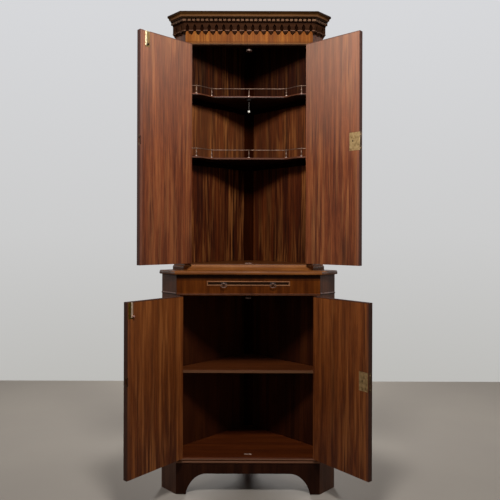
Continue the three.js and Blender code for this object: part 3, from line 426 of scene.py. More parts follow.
class Recipe:
    """Node tree of one material, written step by step."""

    def __init__(self, name: str) -> None:
        """Starts a material with a principled surface.

        Args:
            name: Name of the material.
        """
        self.material = bpy.data.materials.new(name)
        self.material.use_nodes = True
        self.tree = self.material.node_tree
        self.tree.nodes.clear()
        self.surface = self.add("ShaderNodeBsdfPrincipled")
        output = self.add("ShaderNodeOutputMaterial")
        self.tree.links.new(self.surface.outputs["BSDF"], output.inputs["Surface"])

    def add(self, kind: str, **settings: object) -> bpy.types.Node:
        """Adds a node.

        Args:
            kind: Its type.
            settings: Properties of the node.

        Returns:
            The node.
        """
        node = self.tree.nodes.new(kind)
        for key, value in settings.items():
            setattr(node, key, value)
        return node

    def feed(self, socket: bpy.types.NodeSocket, value: Input) -> None:
        """Links a socket to another, or writes a plain value on it.

        Args:
            socket: The socket that takes the value.
            value: Another socket or a plain value.
        """
        if isinstance(value, bpy.types.NodeSocket):
            self.tree.links.new(value, socket)
        else:
            socket.default_value = value

    def coordinates(self, kind: str) -> Input:
        """Coordinates of the surface, by the name of their socket."""
        return self.add("ShaderNodeTexCoord").outputs[kind]

    def parts(self, vector: Input) -> tuple[Input, Input, Input]:
        """Takes a vector apart.

        Args:
            vector: The vector.

        Returns:
            Its X, Y and Z.
        """
        node = self.add("ShaderNodeSeparateXYZ")
        self.feed(node.inputs[0], vector)
        return tuple(node.outputs)

    def paint(self, colour: Input, rough: Input) -> None:
        """Gives the surface its colour and its roughness."""
        self.feed(self.surface.inputs["Base Color"], colour)
        self.feed(self.surface.inputs["Roughness"], rough)

    def place(self, turn: float = 0.0, scale: Point = (1.0, 1.0, 1.0), shift: float = 0.0) -> Input:
        """Coordinates fixed to the board, turned to its face and drawn out.

        Args:
            turn: Turn of the board about Z in degrees.
            scale: How far each axis is drawn out.
            shift: Distance in metres that tells one board's figure from the next.

        Returns:
            The vector socket.
        """
        mapping = self.add("ShaderNodeMapping", vector_type="TEXTURE")
        self.feed(mapping.inputs["Vector"], self.coordinates("Object"))
        mapping.inputs["Location"].default_value = (shift, shift * 0.7, shift * 1.3)
        mapping.inputs["Rotation"].default_value = (0.0, 0.0, math.radians(turn))
        mapping.inputs["Scale"].default_value = scale
        return mapping.outputs["Vector"]

    def noise(self, vector: Input, scale: float, detail: float = 2.0, rough: float = 0.5) -> Input:
        """Value of a noise from 0 to 1.

        Args:
            vector: Coordinates.
            scale: Features for each metre.
            detail: Finer layers.
            rough: Weight of the finer layers.

        Returns:
            The value socket.
        """
        node = self.add("ShaderNodeTexNoise")
        self.feed(node.inputs["Vector"], vector)
        for key, value in (("Scale", scale), ("Detail", detail), ("Roughness", rough)):
            node.inputs[key].default_value = value
        return node.outputs["Fac"]

    def math(self, operation: str, first: Input, second: Input = 0.0) -> Input:
        """Result of an operation on two values.

        Args:
            operation: Its name.
            first, second: The values.

        Returns:
            The value socket.
        """
        node = self.add("ShaderNodeMath", operation=operation)
        self.feed(node.inputs[0], first)
        self.feed(node.inputs[1], second)
        return node.outputs[0]

    def spread(self, value: Input, low: float, high: float, to_low: float = 0.0,
               to_high: float = 1.0) -> Input:
        """Value carried from one range to another, held at its ends.

        Args:
            value: The value.
            low, high: Range that it comes from.
            to_low, to_high: Range that it goes to.

        Returns:
            The value socket.
        """
        node = self.add("ShaderNodeMapRange", clamp=True)
        self.feed(node.inputs["Value"], value)
        for key, number in (("From Min", low), ("From Max", high), ("To Min", to_low), ("To Max", to_high)):
            node.inputs[key].default_value = number
        return node.outputs["Result"]

    def ramp(self, value: Input, stops: Sequence[tuple[float, Colour]]) -> Input:
        """Colour from a list of stops.

        Args:
            value: Place along the stops.
            stops: Places from 0 to 1 with their colours.

        Returns:
            The colour socket.
        """
        node = self.add("ShaderNodeValToRGB")
        elements = node.color_ramp.elements
        while len(elements) < len(stops):
            elements.new(0.5)
        for element, (position, colour) in zip(elements, stops):
            element.position = position
            element.color = linear(colour)
        self.feed(node.inputs["Fac"], value)
        return node.outputs["Color"]

    def mix(self, share: Input, first: Input, second: Input, blend: str = "MIX") -> Input:
        """Mix of two colours.

        Args:
            share: Share of the second.
            first, second: The colours.
            blend: The way that they mix.

        Returns:
            The colour socket.
        """
        node = self.add("ShaderNodeMix", data_type="RGBA", blend_type=blend)
        self.feed(node.inputs[0], share)
        self.feed(node.inputs[6], first)
        self.feed(node.inputs[7], second)
        return node.outputs[2]

    def bump(self, height: Input, distance: float, strength: float = 1.0) -> None:
        """Gives the surface a relief.

        Args:
            height: Height from 0 to 1.
            distance: Depth in metres of the whole range.
            strength: Share of it that shows.
        """
        node = self.add("ShaderNodeBump")
        node.inputs["Distance"].default_value = distance
        node.inputs["Strength"].default_value = strength
        self.feed(node.inputs["Height"], height)
        self.feed(self.surface.inputs["Normal"], node.outputs["Normal"])

    def set(self, **values: float) -> None:
        """Writes plain values on the surface's own sockets, an underscore standing for a space."""
        for key, value in values.items():
            self.surface.inputs[key.replace("_", " ")].default_value = value


@dataclass(frozen=True)
class Band:
    """A level band of a board with its own tone, in millimetres above the floor. Most bands are painted
    shade under overhangs and in quirks, and others painted highlight on beads and arrises.
    """

    low: float
    high: float
    colour: Colour
    share: float = 0.7


@dataclass(frozen=True)
class WoodFinish:
    """One kind of polished board.

    Colours run from the deep grain to the light of the ribbons. Shares say how strongly each part of the
    figure shows, ribbon is the distance in metres from one ribbon to the next, flame is the colour of the
    stray light streaks with their own distance and share, wave is how far the lines wander, cants is the
    painted shade on the faces that turn to the sides, and outside the tone of the faces that stand against
    the wall. The bands are mostly painted shade and painted highlight.
    Each scale is a number of features for each metre across the grain, and relief is a depth in metres.
    """

    streak_scale: ClassVar[float] = 170.0
    hair_scale: ClassVar[float] = 620.0
    mottle_scale: ClassVar[float] = 16.0
    pore_scale: ClassVar[float] = 1300.0
    relief: ClassVar[float] = 0.00012

    name: str
    deep: Colour
    body: Colour
    light: Colour
    ribbon: float = 0.045
    ribbons: float = 0.5
    streaks: float = 0.4
    mottle: float = 0.3
    roughness: float = 0.42
    specular: float = 0.1
    drawn: float = 26.0
    flame: Optional[Colour] = None
    flame_step: float = 0.02
    flames: float = 0.6
    wave: float = 0.03
    bands: tuple[Band, ...] = ()
    cants: Optional[Colour] = None
    outside: Optional[Colour] = None

    def material(self, run: Run, turn: float = 0.0, shift: float = 0.0) -> bpy.types.Material:
        """Makes the finish for a board.

        Args:
            run: Way of the grain.
            turn: Turn of the board's face about Z in degrees.
            shift: Distance that tells one board's figure from the next.

        Returns:
            The material.
        """
        recipe = Recipe(f"{self.name}_{run.name.lower()}_{round(turn)}_{round(shift * 100)}")
        lines = self.wander(recipe, recipe.place(turn, run.drawn(self.drawn), shift))
        ribbons = recipe.noise(lines, 0.9 / self.ribbon, 1.5, 0.4)
        streaks = recipe.noise(lines, self.streak_scale, 3.0, 0.6)
        hairs = recipe.noise(lines, self.hair_scale, 2.0, 0.6)
        clouds = recipe.place(turn, run.drawn(2.4), shift + 3.0)
        mottle = recipe.noise(clouds, self.mottle_scale, 3.0, 0.55)
        tone = recipe.math("MULTIPLY_ADD", recipe.math("SUBTRACT", ribbons, 0.5), 2.4 * self.ribbons)
        tone.node.inputs[2].default_value = 0.5
        layers = ((streaks, 1.5 * self.streaks), (hairs, 0.7 * self.streaks), (mottle, 1.6 * self.mottle))
        for layer, share in layers:
            part = recipe.math("MULTIPLY", recipe.math("SUBTRACT", layer, 0.5), share)
            tone = recipe.math("ADD", tone, part)
        colour = recipe.ramp(tone, [(0.12, self.deep), (0.5, self.body), (0.88, self.light)])
        if self.flame:
            fade = recipe.noise(recipe.place(turn, run.drawn(5.0), shift + 5.0), 9.0, 2.0)
            colour = recipe.mix(self.flame_share(recipe, lines, fade), colour, linear(self.flame))
        pores = recipe.noise(recipe.place(turn, run.drawn(9.0), shift), self.pore_scale, 1.0)
        open_pores = recipe.spread(pores, 0.6, 0.72)
        colour = recipe.mix(recipe.math("MULTIPLY", open_pores, 0.4), colour, linear(self.deep))
        rough = recipe.spread(streaks, 0.3, 0.7, self.roughness + 0.06, self.roughness - 0.05)
        recipe.paint(*self.finish_edges(recipe, colour, rough))
        recipe.bump(recipe.math("SUBTRACT", recipe.math("MULTIPLY", hairs, 0.35), open_pores), self.relief)
        recipe.set(Specular_IOR_Level=self.specular)
        return recipe.material

    def wander(self, recipe: Recipe, grain: Input) -> Input:
        """Lets the lines of the grain wander a little.

        Args:
            recipe: The material's node tree.
            grain: Coordinates drawn out along the grain.

        Returns:
            The vector socket.
        """
        drift = recipe.add("ShaderNodeTexNoise")
        drift.inputs["Scale"].default_value = 5.0
        recipe.feed(drift.inputs["Vector"], grain)
        move = recipe.add("ShaderNodeVectorMath", operation="MULTIPLY_ADD")
        recipe.feed(move.inputs[0], drift.outputs["Color"])
        move.inputs[1].default_value = (self.wave, self.wave, self.wave)
        recipe.feed(move.inputs[2], grain)
        return move.outputs["Vector"]

    def flame_share(self, recipe: Recipe, lines: Input, fade: Input) -> Input:
        """How strongly a light streak shows at a place.

        Args:
            recipe: The material's node tree.
            lines: Coordinates drawn out along the grain.
            fade: Noise that lets the streaks come and go along their length.

        Returns:
            0 between the streaks and up to 1 in them.
        """
        streak = recipe.spread(recipe.noise(lines, 1.0 / self.flame_step, 3.0, 0.62), 0.49, 0.62)
        length = recipe.spread(fade, 0.36, 0.6, 0.15, 1.0)
        return recipe.math("MULTIPLY", recipe.math("MULTIPLY", streak, length), self.flames)

    def finish_edges(self, recipe: Recipe, colour: Input, rough: Input) -> tuple[Input, Input]:
        """Lays the bands, paints shade on the faces that turn to the sides and tones the faces against the
        wall.

        Args:
            recipe: The material's node tree.
            colour: Colour of the figure.
            rough: Roughness of the figure.

        Returns:
            The colour and the roughness.
        """
        _, _, level = recipe.parts(recipe.coordinates("Object"))
        # The bands are mostly painted shade and painted highlight at given levels.
        for band in self.bands:
            middle, half = (band.low + band.high) * 0.0005, (band.high - band.low) * 0.0005
            away = recipe.math("ABSOLUTE", recipe.math("SUBTRACT", level, middle))
            share = recipe.spread(away, half - 0.0003, half + 0.0003, band.share, 0.0)
            colour = recipe.mix(share, colour, linear(band.colour))
        if self.cants or self.outside:
            sideways, backward, _ = recipe.parts(recipe.coordinates("Normal"))
        # Faces turned to the sides get a painted shade.
        if self.cants:
            turned = recipe.spread(recipe.math("ABSOLUTE", sideways), 0.45, 0.6, 0.0, 0.75)
            colour = recipe.mix(turned, colour, linear(self.cants))
        if self.outside:
            behind = recipe.spread(backward, 0.3, 0.5, 0.0, 0.8)
            colour = recipe.mix(behind, colour, linear(self.outside))
        return colour, rough


@dataclass(frozen=True)
class DoorFinish(WoodFinish):
    """Veneer of a door, with a lipping that shows along its edges.

    The pin and the turn place the door, and span is the distance from the pin to the free edge, in metres.
    The lip is the width of the lipping, the rim that of the dark line on its edge, and the veil a paler,
    greyer tone that grows from nothing to its share over the veil's height below the top.
    """

    edge: Colour = (60, 30, 18)
    lipping: Colour = (150, 90, 60)
    lip: float = 0.009
    pin: tuple[float, float] = (0.0, 0.0)
    turn: float = 0.0
    span: float = 0.28
    top: float = 0.8
    rim: float = 0.004
    veil: Colour = (160, 124, 98)
    veils: float = 0.0
    veil_height: float = 0.6

    def finish_edges(self, recipe: Recipe, colour: Input, rough: Input) -> tuple[Input, Input]:
        """Adds the paler top, the lipping and dark rim along the free edge, and the narrow faces.

        Args:
            recipe: The material's node tree.
            colour: Colour of the veneer.
            rough: Roughness of the veneer.

        Returns:
            The colour and the roughness.
        """
        mapping = recipe.add("ShaderNodeMapping", vector_type="TEXTURE")
        recipe.feed(mapping.inputs["Vector"], recipe.coordinates("Object"))
        mapping.inputs["Location"].default_value = (*self.pin, 0.0)
        mapping.inputs["Rotation"].default_value = (0.0, 0.0, math.radians(self.turn))
        along, _, level = recipe.parts(mapping.outputs["Vector"])
        across = recipe.math("ABSOLUTE", along)
        paler_top = recipe.spread(level, self.top - self.veil_height, self.top, 0.0, self.veils)
        colour = recipe.mix(paler_top, colour, linear(self.veil))
        grain = recipe.noise(recipe.place(self.turn, (1.0, 1.0, 20.0)), 420.0, 2.0)
        join = self.span - self.lip
        strip = recipe.spread(across, join - 0.0006, join + 0.0004)
        strip = recipe.math("MULTIPLY", strip, recipe.spread(grain, 0.3, 0.7, 0.25, 0.6))
        colour = recipe.mix(strip, colour, linear(self.lipping))
        seam = recipe.math("ABSOLUTE", recipe.math("SUBTRACT", across, join))
        seam = recipe.spread(seam, 0.0004, 0.001, 0.5, 0.0)
        above = recipe.spread(level, self.top - 0.0035, self.top - 0.0025)
        dark = recipe.math("MAXIMUM", seam, recipe.math("MULTIPLY", above, 0.8))
        rim = recipe.spread(across, self.span - self.rim - 0.0005, self.span - self.rim, 0.0, 0.75)
        dark = recipe.math("MAXIMUM", dark, rim)
        colour = recipe.mix(dark, colour, linear(self.edge))
        narrow = self.narrow_face(recipe)
        colour = recipe.mix(narrow, colour, recipe.ramp(grain, [(0.3, self.edge_shade), (0.7, self.edge)]))
        plain = recipe.add("ShaderNodeMix", data_type="FLOAT")
        recipe.feed(plain.inputs[0], narrow)
        recipe.feed(plain.inputs[2], rough)
        plain.inputs[3].default_value = 0.9
        return colour, plain.outputs[0]

    @property
    def edge_shade(self) -> Colour:
        """Darker tone of the narrow faces."""
        return tuple(round(c * 0.7) for c in self.edge)

    def narrow_face(self, recipe: Recipe) -> Input:
        """How far a face looks along the door instead of out of its broad side.

        Args:
            recipe: The material's node tree.

        Returns:
            0 on the broad sides and 1 on the narrow faces.
        """
        rotate = recipe.add("ShaderNodeVectorRotate", rotation_type="Z_AXIS")
        rotate.inputs["Angle"].default_value = -math.radians(self.turn)
        recipe.feed(rotate.inputs["Vector"], recipe.coordinates("Normal"))
        _, broad, _ = recipe.parts(rotate.outputs["Vector"])
        return recipe.spread(recipe.math("ABSOLUTE", broad), 0.6, 0.75, 1.0, 0.0)


@dataclass(frozen=True)
class SlideFinish(WoodFinish):
    """Wood of the slide, with painted shade on the sunk band between its beads, on the face that looks
    forward.
    """

    sunk_shade: Colour = (18, 8, 3)
    sunk_share: float = 0.96

    def finish_edges(self, recipe: Recipe, colour: Input, rough: Input) -> tuple[Input, Input]:
        """Paints shade on the sunk band, and leaves the top as it is when the slide is out.

        Args:
            recipe: The material's node tree.
            colour: Colour of the wood.
            rough: Roughness of the wood.

        Returns:
            The colour and the roughness.
        """
        _, depth, _ = recipe.parts(recipe.coordinates("Object"))
        sunk = recipe.spread(depth, FRONT_Y + 0.0002, FRONT_Y + 0.0012, 0.0, self.sunk_share)
        _, backward, _ = recipe.parts(recipe.coordinates("Normal"))
        sunk = recipe.math("MULTIPLY", sunk, recipe.spread(backward, -0.7, -0.5, 1.0, 0.0))
        return recipe.mix(sunk, colour, linear(self.sunk_shade)), rough


@dataclass(frozen=True)
class BrassFinish:
    """Brass, from its bright worn places to its dull ones."""

    name: str
    bright: Colour
    dull: Colour
    roughness: float = 0.32

    def material(self) -> bpy.types.Material:
        """Makes the finish.

        Returns:
            The material.
        """
        recipe = Recipe(self.name)
        place = recipe.place()
        cloud = recipe.noise(place, 70.0, 3.0, 0.5)
        scratch = recipe.noise(recipe.place(20.0, (1.0, 1.0, 7.0)), 900.0, 2.0)
        share = recipe.spread(recipe.math("MULTIPLY_ADD", scratch, 0.25), 0.35, 0.75)
        recipe.feed(share.node.inputs["Value"].links[0].from_node.inputs[2], cloud)
        colour = recipe.mix(share, linear(self.dull), linear(self.bright))
        recipe.paint(colour, recipe.spread(cloud, 0.3, 0.7, self.roughness + 0.16, self.roughness - 0.06))
        recipe.bump(recipe.math("ADD", cloud, recipe.math("MULTIPLY", scratch, 0.4)), 0.00008, 0.5)
        recipe.set(Metallic=1.0)
        return recipe.material


@dataclass(frozen=True)
class PlainFinish:
    """Plastic or fibre of nearly one colour, with the grain of its moulding or its twist."""

    name: str
    body: Colour
    shade: Colour
    roughness: float
    grain: float = 900.0
    relief: float = 0.0001
    coat: float = 0.0
    specular: float = 0.5

    def material(self) -> bpy.types.Material:
        """Makes the finish.

        Returns:
            The material.
        """
        recipe = Recipe(self.name)
        place = recipe.place()
        cloud = recipe.noise(place, 90.0, 3.0)
        grain = recipe.noise(place, self.grain, 2.0)
        share = recipe.spread(recipe.math("ADD", cloud, recipe.math("MULTIPLY", grain, 0.5)), 0.5, 1.0)
        colour = recipe.mix(share, linear(self.shade), linear(self.body))
        recipe.paint(colour, recipe.spread(grain, 0.3, 0.7, self.roughness - 0.05, self.roughness + 0.05))
        recipe.bump(grain, self.relief)
        recipe.set(Coat_Weight=self.coat, Coat_Roughness=0.2, Specular_IOR_Level=self.specular)
        return recipe.material


UPPER_DOOR = DoorFinish(
    "upper_door_veneer", (68, 29, 13), (103, 49, 23), (134, 71, 37), ribbon=0.023, ribbons=0.54,
    streaks=0.9, mottle=0.3, roughness=0.44, specular=0.3, flame=(170, 108, 62), flame_step=0.014,
    flames=0.5, wave=0.055, edge=(78, 42, 30), lipping=(132, 84, 64), lip=0.012, top=1.87,
    veil=(164, 134, 116), veils=0.21, veil_height=0.52,
)
LOWER_DOOR = DoorFinish(
    "lower_door_veneer", (66, 26, 8), (101, 48, 16), (132, 70, 29), ribbon=0.025, ribbons=0.54,
    streaks=0.95, mottle=0.3, roughness=0.44, specular=0.22, flame=(168, 102, 50), flame_step=0.014,
    flames=0.55, wave=0.055, edge=(66, 34, 20), lipping=(86, 46, 34), lip=0.012, top=0.817,
    veil=(140, 78, 30), veils=0.1, veil_height=0.65,
)
CASE_WOOD = WoodFinish(
    "case_mahogany", (44, 24, 14), (69, 40, 25), (94, 58, 38), ribbon=0.03, ribbons=0.35, roughness=0.4,
    specular=0.2,
)
PLINTH_WOOD = WoodFinish(
    "plinth_mahogany", (29, 13, 6), (47, 22, 11), (63, 32, 16), ribbon=0.02, ribbons=0.4, roughness=0.42,
    specular=0.06,
)
# Bands: painted shade along the rail's lower edge, a painted highlight on its bead and a darker band above
# the bead.
FRIEZE_WOOD = WoodFinish(
    "frieze_mahogany", (84, 42, 12), (116, 62, 19), (146, 86, 30), ribbon=0.014, ribbons=0.35, streaks=0.5,
    mottle=0.3, roughness=0.5, specular=0.04, flame=(176, 112, 44), flame_step=0.007, flames=0.5,
    bands=(Band(1870, 1877, (8, 4, 2), 0.9), Band(1877.4, 1880.8, (132, 94, 62), 0.7),
           Band(1881.2, 1888, (70, 36, 12), 0.45)),
)
# Bands: painted shadow under the waist nosing, fading below it, and a painted highlight on the bead at the
# rail's foot.
LOWER_FRIEZE_WOOD = WoodFinish(
    "lower_frieze_mahogany", (61, 25, 5), (89, 42, 10), (117, 61, 18), ribbon=0.016, ribbons=0.4,
    streaks=0.4, mottle=0.5, roughness=0.4, specular=0.06,
    bands=(Band(887, 905, (10, 3, 1), 0.85), Band(880, 886.5, (30, 10, 4), 0.5),
           Band(820.9, 825.2, (176, 128, 106), 0.6)),
)
# Bands: painted shade in a quirk of the base moulding and a painted highlight on the fillet below it; cants
# is painted shade on the faces that turn to the sides.
MOULDING_WOOD = WoodFinish(
    "moulding_mahogany", (84, 44, 16), (126, 73, 31), (160, 102, 50), ribbon=0.02, ribbons=0.35,
    roughness=0.36, bands=(Band(941.6, 947, (54, 22, 6), 0.75), Band(937.6, 941.4, (184, 132, 96), 0.45)),
    cants=(64, 44, 34),
)
SLIDE_WOOD = SlideFinish(
    "slide_mahogany", (98, 60, 36), (146, 98, 66), (180, 128, 88), ribbon=0.02, ribbons=0.35, roughness=0.4,
    specular=0.04,
)
# Bands: a dark top fillet, painted shadow on the crown's soffit and foot, and a painted highlight on the
# cyma; cants is painted shade on the faces that turn to the sides.
CROWN_WOOD = WoodFinish(
    "crown_mahogany", (50, 30, 14), (79, 51, 26), (106, 72, 38), ribbon=0.02, ribbons=0.35, roughness=0.44,
    specular=0.0, bands=(Band(1992, 1999.4, (20, 10, 3), 0.85), Band(1970, 1980.8, (8, 3, 1), 0.9),
                         Band(1981.4, 1985.4, (126, 90, 66), 0.45)),
    cants=(44, 32, 26),
)
# cants is painted shade on the dentils' side faces.
DENTIL_WOOD = WoodFinish(
    "dentil_mahogany", (72, 49, 34), (101, 74, 56), (128, 97, 75), ribbon=0.02, ribbons=0.35, roughness=0.5,
    specular=0.0, cants=(60, 46, 38),
)
# Near-black wood that paints shade: the bearers under the shelves, the band behind the dentils and the
# ground behind the arches.
SHADED_WOOD = WoodFinish(
    "shaded_mahogany", (13, 5, 2), (22, 9, 4), (31, 14, 6), ribbon=0.02, ribbons=0.35, roughness=0.6,
    specular=0.0,
)
# Paler than the arcade as a painted highlight on the abaci, with painted shade on their side faces.
ABACUS_WOOD = WoodFinish(
    "abacus_mahogany", (94, 66, 50), (122, 88, 70), (148, 112, 90), ribbon=0.02, ribbons=0.35,
    roughness=0.5, specular=0.0, cants=(74, 54, 42),
)
ARCADE_WOOD = WoodFinish(
    "arcade_mahogany", (28, 14, 8), (47, 27, 16), (66, 40, 25), ribbon=0.02, ribbons=0.35, roughness=0.5,
    specular=0.0,
)
# Bands: painted shade over the top compartment and a faint painted reflection over the middle one.
STRIPED_WOOD = WoodFinish(
    "striped_mahogany", (31, 9, 3), (61, 22, 6), (94, 42, 14), ribbon=0.024, ribbons=0.5, streaks=0.8,
    mottle=0.2, roughness=0.5, specular=0.16, flame=(156, 96, 46), flame_step=0.012, flames=0.68,
    wave=0.055,
    bands=(Band(1675, 1976, (9, 4, 3), 0.6), Band(1420, 1650, (156, 96, 56), 0.08)), outside=(70, 42, 26),
)
# The left back's copy, with weaker painted shade and a stronger painted reflection.
LEFT_STRIPED_WOOD = replace(
    STRIPED_WOOD, name="left_striped_mahogany",
    bands=(Band(1675, 1976, (12, 6, 4), 0.46), Band(1420, 1650, (160, 98, 56), 0.15)),
)
LOWER_BACK_WOOD = WoodFinish(
    "lower_back_mahogany", (28, 9, 3), (48, 19, 6), (72, 33, 12), ribbon=0.04, ribbons=0.4,
    roughness=0.5, flame=(90, 46, 18), flame_step=0.02, flames=0.4, outside=(66, 40, 24),
)
SHELF_WOOD = WoodFinish(
    "shelf_mahogany", (50, 22, 8), (76, 36, 14), (102, 52, 22), ribbon=0.03, ribbons=0.4, roughness=0.42,
)
# Bands: painted highlights on the sill's beads with painted shade between them.
FLOOR_WOOD = WoodFinish(
    "floor_mahogany", (54, 20, 6), (80, 34, 10), (106, 50, 18), ribbon=0.035, ribbons=0.4, roughness=0.42,
    bands=(Band(140.8, 148.2, (164, 120, 94), 0.74), Band(137.9, 140.2, (40, 18, 8), 0.5),
           Band(130, 137.6, (140, 98, 72), 0.6)),
)
STRIP_WOOD = WoodFinish(
    "corner_strip_mahogany", (19, 5, 1), (33, 10, 2), (47, 17, 4), ribbon=0.02, ribbons=0.4, roughness=0.6,
    specular=0.0, outside=(58, 36, 22),
)
BOARD_WOOD = WoodFinish(
    "carcase_board", (62, 40, 24), (92, 62, 38), (120, 86, 56), ribbon=0.05, ribbons=0.5, streaks=0.5,
    roughness=0.62,
)
CABINET_BRASS = BrassFinish("cabinet_brass", (190, 160, 112), (116, 90, 55), 0.45)
BOLT_BRASS = BrassFinish("bolt_brass", (236, 222, 180), (214, 196, 146), 0.35)
BOLT_PLATE_BRASS = BrassFinish("bolt_plate_brass", (150, 124, 82), (104, 80, 48), 0.5)
# Dark brass of the strike, the lock's bolt and the lock's edge plate, darkened as painted shade on the
# door's edges.
STRIKE_BRASS = BrassFinish("strike_brass", (84, 62, 40), (38, 26, 16), 0.6)
GALLERY_BRASS = BrassFinish("gallery_brass", (140, 114, 98), (84, 64, 52), 0.55)
# Pale brass of the gallery feet and the stops' floor plates; on the gallery feet it is a painted highlight.
FOOT_BRASS = BrassFinish("foot_brass", (224, 198, 182), (176, 146, 128), 0.45)
STOP_BRASS = BrassFinish("stop_brass", (138, 118, 108), (92, 74, 66), 0.62)
PULL_BRASS = BrassFinish("pull_brass", (150, 118, 104), (60, 42, 36), 0.36)
# Dark bronze of the upper bolt knob and the strike lip; on the stops' upper part the dark is painted shade
# under the rail.
DARK_BRONZE_AND_SHADE = BrassFinish("dark_bronze", (50, 34, 28), (26, 17, 14), 0.5)
UPPER_BOLT_BRASSES = (BOLT_PLATE_BRASS, BOLT_BRASS, DARK_BRONZE_AND_SHADE)
LOWER_BOLT_BRASSES = (
    BrassFinish("olive_bolt_plate", (104, 82, 28), (62, 48, 14), 0.5),
    BrassFinish("pale_bolt_bar", (238, 214, 186), (208, 180, 150), 0.35),
    BrassFinish("rosy_bolt_knob", (196, 156, 144), (140, 104, 94), 0.4),
)
# Near-black that paints the shade inside the keyhole and the bolt's groove.
KEYHOLE_DARK = PlainFinish("keyhole_dark", (16, 10, 6), (8, 5, 3), 0.7, specular=0.1)
# Dark tone of the drop pulls' back plates: a painted shadow behind the pulls.
PULL_PLATE_SHADE = PlainFinish("dark_patina", (30, 20, 16), (16, 10, 8), 0.5, specular=0.3)
SWITCH_PLASTIC = PlainFinish("switch_plastic", (18, 12, 10), (11, 7, 6), 0.7, specular=0.15)
BEAD_PLASTIC = PlainFinish("bead_plastic", (232, 228, 216), (216, 210, 196), 0.35, coat=0.3)
CORD_FIBRE = PlainFinish("cord_fibre", (104, 98, 90), (72, 66, 60), 0.85, 2200.0, 0.0003)


# Assemblies


def smooth_group() -> bpy.types.NodeTree:
    """Node group that smooths rounds and keeps true edges.

    Returns:
        The group, made once.
    """
    name = "smooth_rounds"
    if name in bpy.data.node_groups:
        return bpy.data.node_groups[name]
    tree = bpy.data.node_groups.new(name, "GeometryNodeTree")
    tree.interface.new_socket("Geometry", in_out="INPUT", socket_type="NodeSocketGeometry")
    tree.interface.new_socket("Geometry", in_out="OUTPUT", socket_type="NodeSocketGeometry")
    source = tree.nodes.new("NodeGroupInput")
    faces = tree.nodes.new("GeometryNodeSetShadeSmooth")
    edges = tree.nodes.new("GeometryNodeSetShadeSmooth")
    edges.domain = "EDGE"
    angle = tree.nodes.new("GeometryNodeInputMeshEdgeAngle")
    sharp = tree.nodes.new("FunctionNodeCompare")
    sharp.operation = "GREATER_THAN"
    sharp.inputs["B"].default_value = SMOOTH_LIMIT
    edges.inputs["Shade Smooth"].default_value = False
    output = tree.nodes.new("NodeGroupOutput")
    for start, end in (
        (source.outputs[0], faces.inputs["Geometry"]),
        (faces.outputs["Geometry"], edges.inputs["Geometry"]),
        (angle.outputs["Unsigned Angle"], sharp.inputs["A"]),
        (sharp.outputs["Result"], edges.inputs["Selection"]),
        (edges.outputs["Geometry"], output.inputs[0]),
    ):
        tree.links.new(start, end)
    return tree


@dataclass
class Assembly:
    """A part of the cupboard that is built and dressed on its own."""

    body: ClassVar[str] = "case"

    def build(self) -> None:
        """Builds and dresses every piece of the assembly."""
        raise NotImplementedError

    def ease(self, thing: bpy.types.Object, width: float) -> None:
        """Eases an object's true edges.

        Args:
            thing: The object.
            width: Width of the eased edge in millimetres.
        """
        bevel = thing.modifiers.new("eased_edges", "BEVEL")
        bevel.width = width * 0.001
        bevel.segments = 2
        bevel.limit_method = "ANGLE"
        bevel.angle_limit = math.radians(48)
        bevel.harden_normals = False
        weighted = thing.modifiers.new("even_shading", "WEIGHTED_NORMAL")
        weighted.keep_sharp = True

    def keep(self, node: str, material: bpy.types.Material, ease: float = 0.6) -> None:
        """Keeps a solid, with its finish, eased edges and smooth rounds.

        Args:
            node: Name of the solid.
            material: Its finish.
            ease: Width of its eased edges in millimetres.
        """
        thing = frame["nodes"][node]
        thing.material_slots[0].link = "OBJECT"
        thing.material_slots[0].material = material
        weld = thing.modifiers.new("joined_points", "WELD")
        weld.merge_threshold = 0.00002
        flat = thing.modifiers.new("whole_faces", "DECIMATE")
        flat.decimate_type = "DISSOLVE"
        flat.angle_limit = math.radians(0.5)
        rounds = thing.modifiers.new("smooth_rounds", "NODES")
        rounds.node_group = smooth_group()
        if ease > 0:
            self.ease(thing, ease)
        LOG.info("kept %s with %s", node, material.name)

    def add(self, name: str, shape: Shape, material: bpy.types.Material, slot: str,
            replaces: Iterable[str] = (), body: Optional[str] = None, place: Matrix = Matrix(),
            ease: float = 0.0) -> bpy.types.Object:
        """Turns a surface into a piece of the scene.

        Args:
            name: Name of the piece.
            shape: Its surface in millimetres.
            material: Its finish.
            slot: The part's material slot that it belongs to; not used.
            replaces: Solids that it stands for.
            body: The body that it moves with, when it isn't the assembly's own.
            place: Matrix from the surface's own frame.
            ease: Width of its eased edges in millimetres.

        Returns:
            The piece.
        """
        piece = shape.object(name, place)
        piece.data.materials.append(material)
        if ease > 0:
            self.ease(piece, ease)
        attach(piece, body or self.body)
        if replaces:
            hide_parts(*replaces)
        LOG.info("built %s on %s, %d faces", name, body or self.body, len(piece.data.polygons))
        return piece


@dataclass
class Plinth(Assembly):
    """Front of the plinth with its flat-topped arch."""

    height: float = 128.0
    board: float = 22.0
    arch_half: float = 256.0
    flat_half: float = 173.0
    arch_height: float = 84.6

    def build(self) -> None:
        """Builds the board with its arch."""
        half, flat, rise = self.arch_half, self.flat_half, self.arch_height
        right = curve([(flat, rise), (half - 50, rise), (half - 11, 56), (half, 0)], 20)
        left = [(-x, z) for x, z in reversed(right)]
        rings = []
        for y in (0.0, self.board):
            end = LOWER.corner(1, -y, SEAM)[0]
            outline = [(-end, 0.0), *left, *right, (end, 0.0), (end, self.height), (-end, self.height)]
            rings.append([(x, y, z) for x, z in outline])
        shape = Shape()
        shape.skin(rings)
        self.add("plinth_front", shape, PLINTH_WOOD.material(Run.UPRIGHT), "mahogany", ["plinth"], ease=1.0)


